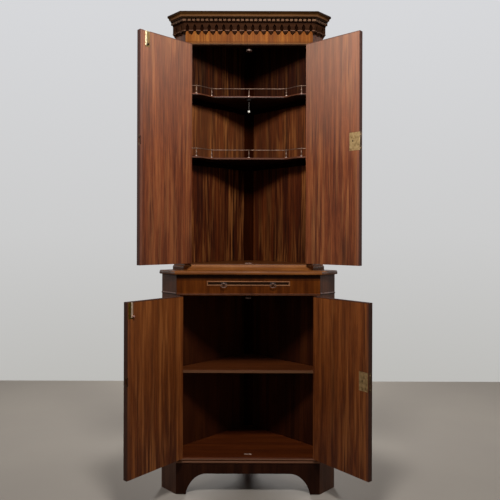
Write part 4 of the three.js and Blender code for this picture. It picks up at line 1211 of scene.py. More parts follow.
@dataclass
class LowerCase(Assembly):
    """Boards of the lower case, which keep their solids."""

    stop_height: float = 819.0

    def build(self) -> None:
        """Dresses the boards and builds the turned stop and the plate under it."""
        for side, name, body in ((-1, "left", (58, 25, 8)), (1, "right", (48, 19, 6))):
            self.keep(f"lower_{name}_cant", CASE_WOOD.material(Run.UPRIGHT, side * 45, side * 0.3), 0.8)
            board = replace(LOWER_BACK_WOOD, name=f"lower_{name}_back_mahogany", body=body)
            self.keep(f"lower_{name}_back", board.material(Run.UPRIGHT, -side * 45, side * 0.2))
        self.keep("lower_corner_strip", STRIP_WOOD.material(Run.UPRIGHT))
        self.keep("lower_bottom_board", FLOOR_WOOD.material(Run.ACROSS), 0.4)
        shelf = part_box("lower_shelf")[1].z * 1000
        # A painted highlight along the lower shelf's front edge.
        painted_highlight = Band(shelf - 14, shelf - 1.2, (150, 108, 78), 0.4)
        finish = replace(SHELF_WOOD, bands=(painted_highlight,))
        self.keep("lower_shelf", finish.material(Run.ACROSS, shift=0.4), 1.2)
        self.keep("lower_frieze_rail", LOWER_FRIEZE_WOOD.material(Run.UPRIGHT), 0.4)
        self.keep("dust_board", BOARD_WOOD.material(Run.ACROSS))
        self.keep("slide_guide", BOARD_WOOD.material(Run.DEEP, shift=0.6))
        self.keep("waist_top", MOULDING_WOOD.material(Run.ACROSS), 0.5)
        Stop("lower", LOWER, self.stop_height, 152.0).build()


@dataclass
class Stop(Assembly):
    """Turned stop behind the doors' upper meeting corners, and the small plate on the floor below it."""

    stage: str
    plan: Plan
    rail: float
    floor: float
    radius: float = 13.0
    drop: float = 17.0
    door_thick: float = 20.0
    plate_half: float = 15.0
    plate_depths: tuple[float, float] = (32.0, 43.0)
    screw_half: float = 8.5

    def build(self) -> None:
        """Builds the stop and the plate with its two screws."""
        r, d = self.radius, self.drop
        y = self.plan.front + self.door_thick + SEAM + r
        place = upright(0, y, self.rail - d)
        cap = Shape()
        dome = arc(0, 1.8, r, 1.8, -90, 0, 8)
        cap.turning([*dome, (r, 5.2), (r - 1.0, 6.2), (r - 4.2, 6.6), (0, 6.6)], 40, place)
        self.add(f"{self.stage}_stop_cap", cap, STOP_BRASS.material(), "brass", [f"{self.stage}_door_stop"])
        stem = Shape()
        waist = [(r - 4.4, 6.2), (r - 4.8, 9), (r - 3.4, 13), (r - 0.6, 14.6), (r, d)]
        stem.turning([(0, 6.2), *waist, (0, d)], 40, place)
        # The stem's dark finish is painted shade under the rail.
        self.add(f"{self.stage}_stop_stem", stem, DARK_BRONZE_AND_SHADE.material(), "brass")
        plate = Shape()
        front, rear = (self.plan.front + depth for depth in self.plate_depths)
        plate.board((-self.plate_half, front, self.floor - 0.4), (self.plate_half, rear, self.floor + 0.9))
        for x in (-self.screw_half, self.screw_half):
            plate.screw(upright(x, (front + rear) / 2, self.floor + 1.0), 2.6)
        self.add(f"{self.stage}_floor_plate", plate, FOOT_BRASS.material(), "brass", ease=0.3)


@dataclass
class Slide(Assembly):
    """Brushing slide with its two drop pulls."""

    body: ClassVar[str] = "slide"
    level: float = 868.0
    half: float = 171.0
    bead: float = 2.4
    from_middle: float = 101.0
    reach: float = 9.0
    ball: float = 4.4
    eye: float = 2.2
    loop_half: float = 14.0
    loop_drop: float = 9.0
    wire: float = 1.3
    bead_half: float = 9.8
    plate_radii: tuple[float, float] = (12.5, 8.2)

    def build(self) -> None:
        """Dresses the slide and builds its pulls."""
        wood = SLIDE_WOOD.material(Run.ACROSS, shift=0.9)
        self.keep("slide_board", wood, 0.4)
        beads = Shape()
        for x in (self.bead - self.half, self.half - self.bead):
            ends = [[(x + dx, dy, z) for dx, dy in arc(0, 0, self.bead, self.bead, -180, 0, 12)]
                    for z in (self.level - self.bead_half, self.level + self.bead_half)]
            beads.skin(ends)
        self.add("slide_end_beads", beads, wood, "mahogany")
        brass = PULL_BRASS.material()
        for side, name in ((-1, "left"), (1, "right")):
            self.build_post(side, name, brass)
            self.build_loop(side, name, brass)

    def build_post(self, side: int, name: str, brass: bpy.types.Material) -> None:
        """Builds a rose, a neck and a drilled ball.

        Args:
            side: -1 for the left and 1 for the right.
            name: The side's name.
            brass: The finish.
        """
        x, y = side * self.from_middle, -SEAM
        rose = [(0, -1.5), (4.6, -1.5), (4.6, -0.6), (4.1, 0.0), (3.3, 0.0), (3.0, 0.7), (2.1, 1.2)]
        neck = [(1.8, 2.6), (2.1, 3.9), (2.7, 4.6), (2.2, 5.6), (1.6, 6.3), (0, 6.3)]
        shape = Shape()
        shape.turning([*rose, *neck], 28, facing(x, y, self.level, "X", 90))
        edge = math.degrees(math.asin(self.eye / self.ball))
        ball = [(self.ball * math.sin(math.radians(a)), -self.ball * math.cos(math.radians(a)))
                for a in [edge + (180 - 2 * edge) * i / 12 for i in range(13)]]
        shape.hoop(ball, 28, facing(x, y - self.reach, self.level, "Y", 90))
        self.add(f"{name}_post", shape, brass, "brass", [f"{name}_pull_post"])
        # A dark oval plate behind the pull, painted shadow.
        plate = Shape()
        outline = arc(0, 0, *self.plate_radii, 0, 352.5, 47)
        rims = ((0.0, 1.0), (0.7, 1.0), (1.1, 0.93))
        plate.skin([[(x + px * k, y - out, self.level + pz * k) for px, pz in outline] for out, k in rims])
        self.add(f"{name}_pull_plate", plate, PULL_PLATE_SHADE.material(), "brass")

    def wire_at(self, share: float) -> float:
        """Radius of a loop's wire, least where it hangs in the ball."""
        return self.wire * (0.86 + 0.14 * math.sin(math.pi * share) ** 2)

    def build_loop(self, side: int, name: str, brass: bpy.types.Material) -> None:
        """Builds an oval loop that hangs in the ball.

        Args:
            side: -1 for the left and 1 for the right.
            name: The side's name.
            brass: The finish.
        """
        wide, tall = self.loop_half - self.wire, self.loop_drop - self.wire
        x, y = side * self.from_middle, -SEAM - self.reach
        path = [(x + px, y, self.level - tall + pz) for px, pz in arc(0, 0, wide, tall, 90, 450, 48)[:-1]]
        shape = Shape()
        shape.tube(path, self.wire_at, (0, 1, 0), 12, loop=True)
        self.add(f"{name}_drop_loop", shape, brass, "brass", [f"{name}_pull_loop"], body=f"{name}_loop")


@dataclass
class Shelf(Assembly):
    """Shaped shelf of the upper case with its brass gallery and the bearer under it.

    The board's edge runs straight across the middle, turns forward by 45 degrees at the bend and ends in a
    short straight by each cant. Its upper part has a painted highlight, down to the level where the painted
    shade of the part below begins, edge_dark under the top.
    """

    name: str
    top: float
    shift: float
    thick: float = 10.0
    setback: float = 78.0
    end_setback: float = 23.0
    end_length: float = 51.0
    turn: float = 18.0
    inset: float = 8.0
    rise: float = 34.0
    rail: float = 1.6
    pale: float = 0.16
    edge_dark: float = 7.6
    inner_from_bend: float = 5.0
    outer_from_cant: float = 39.0

    @property
    def end_x(self) -> float:
        """X of the front corner at the cant."""
        return UPPER.cant_inner_x(UPPER.front + self.end_setback)

    @property
    def bend_x(self) -> float:
        """X of the corner where the straight middle turns forward by 45 degrees."""
        return self.end_x - self.end_length - (self.setback - self.end_setback)

    def edge(self, inset: float, steps: int = 12) -> Profile:
        """Front edge from the middle to the right.

        Args:
            inset: Distance behind the edge.
            steps: Number of parts in each turn.

        Returns:
            Points of X and Y.
        """
        y = UPPER.front + self.setback + inset
        end_y = UPPER.front + self.end_setback + inset
        bend = self.bend_x + inset * MITRE
        outer = bend + y - end_y
        slant = self.turn * HALF
        turns = [
            *curve([(bend - self.turn, y), (bend, y), (bend + slant, y - slant)], steps),
            *curve([(outer - slant, end_y + slant), (outer, end_y), (outer + self.turn, end_y)], steps),
        ]
        return [*turns, (UPPER.cant_inner_x(end_y), end_y)]

    def gallery_y(self, x: float) -> float:
        """Y of the gallery's middle line.

        Args:
            x: Distance from the middle of the shelf, to either side.

        Returns:
            Y in the cupboard's frame.
        """
        edge = self.edge(self.inset)
        for a, b in zip(edge, edge[1:]):
            if a[0] <= abs(x) <= b[0]:
                return a[1] + (b[1] - a[1]) * (abs(x) - a[0]) / (b[0] - a[0])
        return edge[0][1]

    def build(self) -> None:
        """Builds the shelf and its gallery and dresses the bearer."""
        half = [*self.edge(0), UPPER.inner_cant(1), UPPER.inner_rear(1)]
        shape = Shape()
        rings = []
        for down, inset in ((self.thick, 6.0), (8.8, 5.6), (7.8, 1.6), (7.2, 0.0), (0.0, 0.0)):
            front = self.edge(inset)
            outline = [*front, *half[len(front):]]
            outline += [(-x, y) for x, y in reversed(outline)]
            rings.append([(x, y, self.top - down) for x, y in outline])
        shape.skin(rings)
        # A painted highlight on the top of the front edge and painted shade below it.
        painted_highlight = Band(self.top - self.edge_dark + 0.2, self.top - 0.8, (150, 108, 92), self.pale)
        shade = Band(self.top - self.thick - 1, self.top - self.edge_dark, (9, 4, 3), 0.85)
        wood = replace(SHELF_WOOD, bands=(painted_highlight, shade)).material(Run.ACROSS, shift=self.shift)
        self.add(f"{self.name}_shelf_board", shape, wood, "striped_mahogany", [f"{self.name}_shelf"],
                 ease=0.5)
        # The bearer is painted near-black as shade under the shelf.
        shaded = SHADED_WOOD.material(Run.ACROSS, shift=self.shift + 0.3)
        self.keep(f"{self.name}_shelf_bearer", shaded, 0.8)
        self.build_gallery()

    def build_gallery(self) -> None:
        """Builds the rail and its five turned spindles."""
        edge = self.edge(self.inset)
        edge[-1] = (edge[-1][0] - self.rail - 0.5, edge[-1][1])
        line = [*[(-x, y) for x, y in reversed(edge)], *edge]
        shape = Shape()
        level = self.top + self.rise
        shape.tube([(x, y, level) for x, y in line], lambda share: self.rail, (0, 0, 1), 14)
        inner = self.bend_x + self.inner_from_bend
        outer = self.end_x - self.outer_from_cant
        foot = [(1.7, 0.02), (6.6, 0.02), (6.6, 1.3), (5.6, 2.3), (3.4, 3.0), (2.7, 4.2), (1.7, 4.6)]
        feet = Shape()
        for x in (-outer, -inner, 0.0, inner, outer):
            place = upright(x, self.gallery_y(x), self.top)
            shape.turning(self.spindle_profile(), 24, place)
            feet.hoop(foot, 28, place)
        self.add(f"{self.name}_brass_gallery", shape, GALLERY_BRASS.material(), "brass",
                 [f"{self.name}_gallery"])
        self.add(f"{self.name}_gallery_feet", feet, FOOT_BRASS.material(), "brass")

    def spindle_profile(self) -> Profile:
        """Profile of a spindle: a stepped foot, a vase between two necks and a ball round the rail.

        Returns:
            Points of radius and height above the shelf.
        """
        top, round_ball = self.rise, 3.4
        vase = [(1.6, 0.30), (2.0, 0.34), (2.9, 0.40), (3.4, 0.47), (3.3, 0.53), (2.6, 0.60), (1.8, 0.65),
                (1.5, 0.68)]
        foot = [(0, 0), (5.0, 0), (5.0, 1.2), (4.4, 2.0), (3.0, 2.5), (2.4, 3.4), (2.7, 4.2), (1.9, 5.0),
                (1.5, 6.4)]
        ball = [(round_ball * math.cos(math.radians(a)), top + round_ball * math.sin(math.radians(a)))
                for a in range(-64, 91, 14)]
        neck = [(1.5, top - 5.4), (2.3, top - 4.6), (2.3, top - 3.9)]
        return [*foot, *[(r, top * share) for r, share in vase], *neck, *ball[:-1], (0, top + round_ball)]


@dataclass
class UpperCase(Assembly):
    """Boards of the upper case, which keep their solids."""

    def build(self) -> None:
        """Dresses the boards and builds the shelves and the stop."""
        cants = replace(CASE_WOOD, name="upper_case_mahogany", body=(80, 48, 34), specular=0.05)
        for side, name, striped in ((-1, "left", LEFT_STRIPED_WOOD), (1, "right", STRIPED_WOOD)):
            self.keep(f"upper_{name}_cant", cants.material(Run.UPRIGHT, side * 45, side * 0.5), 0.8)
            self.keep(f"upper_{name}_back", striped.material(Run.UPRIGHT, -side * 45, side * 0.7))
        self.keep("upper_corner_strip", STRIP_WOOD.material(Run.UPRIGHT))
        self.keep("upper_bottom_board", MOULDING_WOOD.material(Run.ACROSS, shift=0.5), 0.4)
        self.keep("upper_top_board", BOARD_WOOD.material(Run.ACROSS, shift=0.2))
        self.keep("upper_frieze_rail", FRIEZE_WOOD.material(Run.UPRIGHT), 0.4)
        Shelf("low", 1406.0, 0.1).build()
        Shelf("high", 1675.0, 0.7, pale=0.14, edge_dark=4.6).build()
        Stop("upper", UPPER, 1872.0, 946.0).build()


@dataclass(frozen=True)
class Face:
    """One straight face of a moulding that runs round the front, left to right."""

    start: Point
    end: Point
    mitred: tuple[bool, bool]

    @property
    def length(self) -> float:
        """From one end to the other."""
        return math.hypot(self.end[0] - self.start[0], self.end[1] - self.start[1])

    def at(self, along: float, deep: float, level: float) -> Vector:
        """Point of the face, its ends moved by the mitre with depth.

        Args:
            along: Distance from its left end.
            deep: Distance behind it.
            level: Height above the floor.

        Returns:
            The point in the cupboard's frame.
        """
        if along <= 0 and self.mitred[0]:
            along += deep * MITRE
        if along >= self.length and self.mitred[1]:
            along -= deep * MITRE
        run = Vector((self.end[0] - self.start[0], self.end[1] - self.start[1], 0)) / self.length
        return Vector((*self.start, level)) + run * along + Vector((-run.y, run.x, 0)) * deep

    def block(self, shape: Shape, ends: tuple[float, float], depths: tuple[float, float],
              levels: tuple[float, float]) -> None:
        """Adds a block to a surface.

        Args:
            shape: The surface.
            ends: Where it starts and ends along the face.
            depths: Its front and its rear behind the face.
            levels: Its foot and its top.
        """
        corners = [(ends[0], depths[0]), (ends[1], depths[0]), (ends[1], depths[1]), (ends[0], depths[1])]
        shape.skin([[self.at(along, deep, z) for along, deep in corners] for z in levels])


@dataclass
class Cornice(Assembly):
    """Cornice of pointed arches on small drops, dentils and a crown moulding."""

    foot: float = 1927.0
    top: float = 1961.0
    out: float = 13.0
    pitch: float = 30.0
    lancet_half: float = 6.0
    lancet_rise: float = 26.5
    mouth: float = 4.6
    abacus: float = 3.2
    wing: float = 1.2
    drop: float = 11.0
    drop_half: float = 2.0
    ground: float = 0.9
    ground_foot: float = 1931.0
    dentil_out: float = 24.0
    dentil_back: float = 15.0
    dentil_foot: float = 1965.5
    dentil_top: float = 1974.2
    dentil_pitch: float = 18.6
    dentil_gap: float = 6.2

    def build(self) -> None:
        """Builds the arcade and the dentils and dresses the crown."""
        panel, capitals, ground = Shape(), Shape(), Shape()
        for face in self.faces(self.out):
            self.build_arches(panel, capitals, face)
            rear = self.out - SEAM
            # A near-black board behind the arches that paints the shade in them.
            face.block(ground, (0.0, face.length), (rear - self.ground, rear), (self.ground_foot, self.top))
        self.add("arcade", panel, ARCADE_WOOD.material(Run.ACROSS), "mahogany", ["cornice_arcade"],
                 ease=0.3)
        self.add("arcade_abaci", capitals, ABACUS_WOOD.material(Run.ACROSS), "mahogany")
        self.add("arcade_ground", ground, SHADED_WOOD.material(Run.ACROSS), "mahogany")
        self.build_dentils()
        self.keep("cornice_crown", CROWN_WOOD.material(Run.ACROSS, shift=0.8), 0.5)

    def faces(self, out: float) -> list[Face]:
        """The three straight faces at a projection, left to right.

        Args:
            out: Projection from the upper case.

        Returns:
            The faces.
        """
        stops = [UPPER.tip(-1, out), UPPER.corner(-1, out), UPPER.corner(1, out), UPPER.tip(1, out)]
        ends = [(False, True), (True, True), (True, False)]
        return [Face(a, b, mitred) for a, b, mitred in zip(stops, stops[1:], ends)]

    def build_dentils(self) -> None:
        """Builds the band behind the dentils and the dentils on it."""
        band, blocks = Shape(), Shape()
        for face in self.faces(self.dentil_back):
            depths = (0.0, self.dentil_back - SEAM)
            face.block(band, (0.0, face.length), depths, (self.top, self.dentil_top))
        for face in self.faces(self.dentil_out):
            count = round(face.length / self.dentil_pitch)
            step, half = face.length / count, self.dentil_gap / 2
            for i in range(count):
                first = i * step + (half if i > 0 else 0.0)
                last = (i + 1) * step - half if i < count - 1 else face.length
                depths = (0.0, self.dentil_out - self.dentil_back)
                face.block(blocks, (first, last), depths, (self.dentil_foot, self.dentil_top))
        # The band behind the dentils is near-black, painted shade in the gaps between them.
        shaded = SHADED_WOOD.material(Run.ACROSS, shift=0.2)
        self.add("dentil_band", band, shaded, "mahogany", ["cornice_dentils"])
        self.add("dentils", blocks, DENTIL_WOOD.material(Run.ACROSS, shift=0.3), "mahogany", ease=0.5)

    def build_arches(self, panel: Shape, capitals: Shape, face: Face) -> None:
        """Builds the panel, the abaci and the drops of one face.

        Args:
            panel: Surface of the panel and the drops.
            capitals: Surface of the abaci.
            face: The face.
        """
        length = face.length
        count = round(length / self.pitch)
        bay = length / count
        spring = self.foot + self.abacus
        outline: Profile = [(0.0, self.top), (0.0, spring)]
        for i in range(count):
            middle = (i + 0.5) * bay
            left = curve([(-self.mouth, 0), (-self.lancet_half * 1.65, 9), (-self.lancet_half, 19),
                          (0, self.lancet_rise)], 12)
            right = [(-x, z) for x, z in reversed(left[:-1])]
            outline += [(middle + x, spring + z) for x, z in [*left, *right]]
        outline += [(length, spring), (length, self.top)]
        depths = (0.0, self.out - SEAM - self.ground)
        panel.skin([[face.at(s, deep, z) for s, z in outline] for deep in depths])
        lower = bay / 2 - self.mouth - self.wing
        rear = self.out - SEAM
        for i in range(count + 1):
            middle = i * bay
            ends = (max(0.0, middle - lower), min(length, middle + lower))
            capitals.skin([
                [face.at(ends[0], deep, z), face.at(ends[1], deep, z), face.at(ends[1], rear, z),
                 face.at(ends[0], rear, z)]
                for z, deep in ((self.foot, -0.8), (self.foot + 0.8, -2.0), (spring, -2.0))
            ])
            panel.skin([self.drop_section(face, middle, lower * 0.8, share) for share in
                        (1.0, 0.85, 0.7, 0.55, 0.4, 0.25, 0.1, 0.0)])

    def drop_section(self, face: Face, middle: float, lower: float, share: float) -> list[Vector]:
        """Level outline of a drop.

        Args:
            face: The face that it hangs on.
            middle: Place of the drop along the face.
            lower: Half of the drop's width at its top.
            share: Height from the drop's end to its top, 0 to 1.

        Returns:
            The outline's points.
        """
        half = self.drop_half + (lower - self.drop_half) * (1 - (1 - share) ** 2)
        out = 2.0 + (self.out - 2.0) * share
        deep = self.out - out
        level = self.foot - self.drop * (1 - share)
        ends = (max(0.0, middle - half), min(face.length, middle + half))
        chamfer = min(0.9, half * 0.3)
        cut = (chamfer if ends[0] > 0 else 0.0, chamfer if ends[1] < face.length else 0.0)
        rear = self.out - SEAM
        points = [(ends[0], rear), (ends[0], min(deep + cut[0], rear)), (ends[0] + max(cut[0], 1e-4), deep),
                  (ends[1] - max(cut[1], 1e-4), deep), (ends[1], min(deep + cut[1], rear)), (ends[1], rear)]
        return [face.at(along, depth, level) for along, depth in points]


@dataclass
class Door(Assembly):
    """One door with its hinges and what is let into it, in the frame of its hinge pin.

    The opening gives the levels below and above the door. The bar, the screws and the knob of the bolt are
    measured from the edge of its face, and what belongs to the lock from the free edge of the door.
    """

    stage: str
    plan: Plan
    side: int
    opening: tuple[float, float]
    angle: float
    veneer: DoorFinish
    lock_level: float
    thick: float = 20.0
    pin_out: float = 3.6
    gap: float = 1.0
    meet: float = 1.5
    hinge: float = 64.0
    hinge_from_end: float = 105.0
    hinge_screws: ClassVar[tuple[float, ...]] = (0.16, 0.5, 0.84)
    hinge_screw_in: ClassVar[float] = 9.2
    bolt_from_edge: float = 18.0
    bolt_half: float = 14.0
    bolt_tall: float = 62.0
    face_from_edge: float = 23.9
    face_wide: float = 20.6
    screws_from_face: float = 14.4
    groove: tuple[float, float] = (3.0, 59.0)
    bar: tuple[float, float] = (-0.4, 6.6)
    bar_tall: float = 58.0
    knob_down: float = 53.5
    lock_face: tuple[float, float] = (0.1, 46.0)
    lock_half: float = 36.0
    lock_deep: float = 54.0
    key_from_edge: float = 31.0
    thread_from_edge: float = 38.0
    bolt_brasses: tuple[BrassFinish, BrassFinish, BrassFinish] = UPPER_BOLT_BRASSES

    @property
    def hand(self) -> str:
        """Name of the door's side."""
        return "left" if self.side < 0 else "right"

    @property
    def leaf(self) -> str:
        """Name of the body that swings."""
        return f"{self.stage}_{self.hand}_leaf"

    @property
    def toward(self) -> int:
        """Direction from the pin to the free edge."""
        return -self.side

    @property
    def pin(self) -> Matrix:
        """Place of the hinge pin."""
        x = self.side * (self.plan.front_half - self.plan.stile - self.gap / 2)
        return Matrix.Translation((x, self.plan.front - self.pin_out, 0))

    @property
    def swung(self) -> Matrix:
        """Place of the door's own frame as it stands open."""
        return self.pin @ Matrix.Rotation(math.radians(self.side * self.angle), 4, "Z")

    @property
    def width(self) -> float:
        """From the pin to the free edge."""
        return self.plan.front_half - self.plan.stile - self.gap / 2 - self.meet / 2

    @property
    def inner(self) -> float:
        """Y of the inner face in the door's own frame."""
        return self.pin_out + self.thick

    @property
    def levels(self) -> tuple[float, float]:
        """Bottom and top of the door."""
        return self.opening[0] + 2, self.opening[1] - 2

    def build(self) -> None:
        """Dresses the door and builds its brass."""
        brass = CABINET_BRASS.material()
        turn = self.side * self.angle
        pin = tuple((TO_ROOM @ self.pin.to_translation())[:2])
        # The right door's paler top is 1.7 times as strong as the left's.
        veils = self.veneer.veils * (1.0 if self.side < 0 else 1.7)
        veneer = replace(self.veneer, pin=pin, turn=turn, span=self.width * 0.001, veils=veils)
        finish = veneer.material(Run.UPRIGHT, turn, self.side * 0.37)
        self.keep(f"{self.stage}_{self.hand}_door", finish, 0.8)
        z0, z1 = self.levels
        hinges = (("bottom", z0 + self.hinge_from_end), ("top", z1 - self.hinge_from_end - self.hinge))
        for place, z in hinges:
            self.keep(f"{self.stage}_{self.hand}_hinge_{place}", brass, 0.25)
            self.build_hinge(place, z, brass)
        if self.side < 0:
            self.build_bolt(finish)
            self.build_strike(STRIKE_BRASS.material())
        else:
            self.build_lock(finish, brass)
            self.keep(f"{self.stage}_lock_bolt", STRIKE_BRASS.material(), 0.4)
            self.build_lock_trim(brass)

    def hang(self, name: str, shape: Shape, finish: bpy.types.Material, slot: str = "brass",
             solids: Iterable[str] = (), body: Optional[str] = None, ease: float = 0.0) -> None:
        """Adds a piece in the frame of the open door.

        Args:
            name: Its name after that of the stage.
            shape: Its surface in millimetres.
            finish: Its finish.
            slot: The part's material slot that it belongs to.
            solids: Solids that it stands for, by their names after that of the stage.
            body: The body that it moves with, when it isn't the door.
            ease: Width of its eased edges in millimetres.
        """
        nodes = [f"{self.stage}_{solid}" for solid in solids]
        self.add(f"{self.stage}_{name}", shape, finish, slot, nodes, body or self.leaf, self.swung, ease)

    def build_hinge(self, place: str, z: float, brass: bpy.types.Material) -> None:
        """Builds the swinging leaf and knuckles of a hinge, and the screws of both leaves.

        Args:
            place: bottom or top.
            z: Lower end of the hinge.
            brass: The finish.
        """
        knuckles = 5
        d, step = self.toward, self.hinge / knuckles
        moving, fixed = Shape(), Shape()
        face = d * (self.gap / 2 - 0.06)
        rear = d * (self.gap / 2 + 1.5)
        moving.board((face, self.pin_out - 0.2, z), (rear, self.pin_out + 15, z + self.hinge))
        for i in (1, 3):
            low, high = z + i * step + 0.15, z + (i + 1) * step - 0.15
            moving.hoop([(1.75, low), (3.16, low), (3.16, high), (1.75, high)], 24)
            moving.board((d * self.gap / 2, 0.6, low), (rear, self.pin_out + 0.4, high))
        for share in self.hinge_screws:
            y, level = self.pin_out + self.hinge_screw_in, z + self.hinge * share
            moving.screw(facing(face, y, level, "Y", -90 * d), 2.4)
            fixed.screw(facing(-d * self.gap / 2, y, level, "Y", 90 * d), 2.4)
        self.hang(f"{self.hand}_swing_leaf_{place}", moving, brass)
        self.add(f"{self.stage}_{self.hand}_leaf_screws_{place}", fixed, brass, "brass", place=self.pin)

    def build_bolt(self, veneer: bpy.types.Material) -> None:
        """Builds the bolt's plate in its wooden bed, the sliding bar with its turned knob, and the screws.

        Args:
            veneer: Finish of the door.
        """
        middle = self.width - self.bolt_from_edge - self.bolt_half
        top, face = self.levels[1] - 1, self.inner
        foot = top - self.bolt_tall
        near, far = self.bar
        groove_wide, groove_tall = self.groove
        plate_brass, bar_brass, knob_brass = (finish.material() for finish in self.bolt_brasses)
        bed = Shape()
        bed.board((middle - self.bolt_half, face - 2, foot), (middle + self.bolt_half, face - 0.02, top))
        self.hang("bolt_bed", bed, veneer, "mahogany", ["bolt_plate"])
        outer = self.width - self.face_from_edge
        plate = Shape()
        plate.board((outer - self.face_wide, face - 1, foot), (outer, face + 0.15, top))
        for down in (12, 38):
            plate.screw(facing(outer - self.screws_from_face, face + 0.15, top - down, "X", -90), 1.9)
        self.hang("bolt_face", plate, plate_brass)
        groove = Shape()
        groove.board((outer - far - groove_wide, face, top - groove_tall), (outer - far, face + 0.3, top))
        # A dark strip beside the bar that paints shade.
        self.hang("bolt_groove", groove, KEYHOLE_DARK.material())
        moving = f"{self.stage}_left_bolt"
        bar = Shape()
        bar.board((outer - far, face + SEAM, top - self.bar_tall), (outer - near, face + 3.2, top))
        self.hang("bolt_bar", bar, bar_brass, solids=["bolt"], body=moving, ease=0.6)
        neck = [(0, 0), (2.6, 0), (2.6, 1.4), (1.9, 2.2), (1.9, 3.2)]
        head = [(3.0, 4.2), (4.0, 5.4), (4.0, 7.0), (3.2, 8.2), (1.6, 8.9), (0, 9.1)]
        knob = Shape()
        place = facing(outer - far - 2.2, face + 0.4, top - self.knob_down, "X", -90)
        knob.turning([*neck, *head], 28, place)
        self.hang("bolt_knob", knob, knob_brass, body=moving)

    def build_strike(self, brass: bpy.types.Material) -> None:
        """Builds the strike plate round the mortise in the door's edge, and its lip on the inner face.

        Args:
            brass: Finish of the plate.
        """
        z, y, edge = self.lock_level, self.inner - 6, self.width
        plate = Shape()
        plate.pierced((-5.0, 5.0, 22.0), (-3.9, 3.9, 11.9), (-0.3, 0.12),
                      lambda across, up, out: (edge + out, y + across, z + up))
        for up in (-17, 17):
            plate.screw(facing(edge + 0.05, y, z + up, "Y", 90), 2.0)
        self.hang("strike_plate", plate, brass)
        lip = Shape()
        lip.pierced((5.6, 0.4, 16), (4.0, 2.0, 13), (-0.4, 0.14),
                    lambda back, up, out: (edge - back, self.inner + out, z + up))
        self.hang("strike_lip", lip, DARK_BRONZE_AND_SHADE.material())

    def build_lock(self, veneer: bpy.types.Material, brass: bpy.types.Material) -> None:
        """Builds the lock's face plate, the wood beside it and the plate on the door's edge.

        Args:
            veneer: Finish of the door.
            brass: Finish of the face plate.
        """
        d, z, face = self.toward, self.lock_level, self.inner
        edge = d * self.width
        foot, top = z - self.lock_half, z + self.lock_half
        near, far = self.lock_face
        plate = Shape()
        plate.board((edge - d * far, face - 2, foot), (edge - d * near, face + 0.02, top))
        self.hang("lock_face", plate, brass, solids=["lock"], ease=0.3)
        bed = Shape()
        bed.board((edge - d * self.lock_deep, face - 2, foot), (edge - d * 0.1, face - 0.01, top))
        self.hang("lock_bed", bed, veneer, "mahogany")
        selvedge = Shape()
        selvedge.pierced((-16, -2, self.lock_half), (-10, -2.2, 12), (-2, 0),
                         lambda inward, up, out: (edge + d * out, face + inward, z + up))
        self.hang("lock_selvedge", selvedge, STRIKE_BRASS.material())

    def build_lock_trim(self, brass: bpy.types.Material) -> None:
        """Builds the lock's screws, its dark keyhole, and the thread of brass round the keyhole outside.

        Args:
            brass: Finish of the screws and the thread.
        """
        d, z, face = self.toward, self.lock_level, self.inner
        edge = d * self.width
        screws = Shape()
        for back, up in ((10, 30), (10, -30), (40, 30), (40, -30)):
            screws.screw(facing(edge - d * back, face, z + up, "X", -90), 2.2)
        for up in (-27, 27):
            screws.screw(facing(edge, face - 8, z + up, "Y", 90 * d), 2.3)
        self.hang("lock_screws", screws, brass)
        key = edge - d * self.key_from_edge
        hole = Shape()
        bow = [(0, -0.6), (2.5, -0.6), (2.5, 0.1), (0, 0.1)]
        hole.turning(bow, 24, facing(key, face, z + 2.5, "X", -90))
        hole.board((key - 1.1, face - 0.6, z - 2.5), (key + 1.1, face + 0.09, z + 2.5))
        # The keyhole is a dark disc and slot that paint the shade inside it.
        self.hang("keyhole", hole, KEYHOLE_DARK.material())
        outside = edge - d * self.thread_from_edge
        outline = [*arc(0, 0, 3.3, 3.3, -58, 238, 20), (-2.0, -9.8), (2.0, -9.8)]
        path = [(outside + x, self.pin_out - 0.05, z + up) for x, up in outline]
        thread = Shape()
        thread.tube(path, lambda share: 0.55, (0, 1, 0), 8, loop=True)
        self.hang("keyhole_thread", thread, brass)


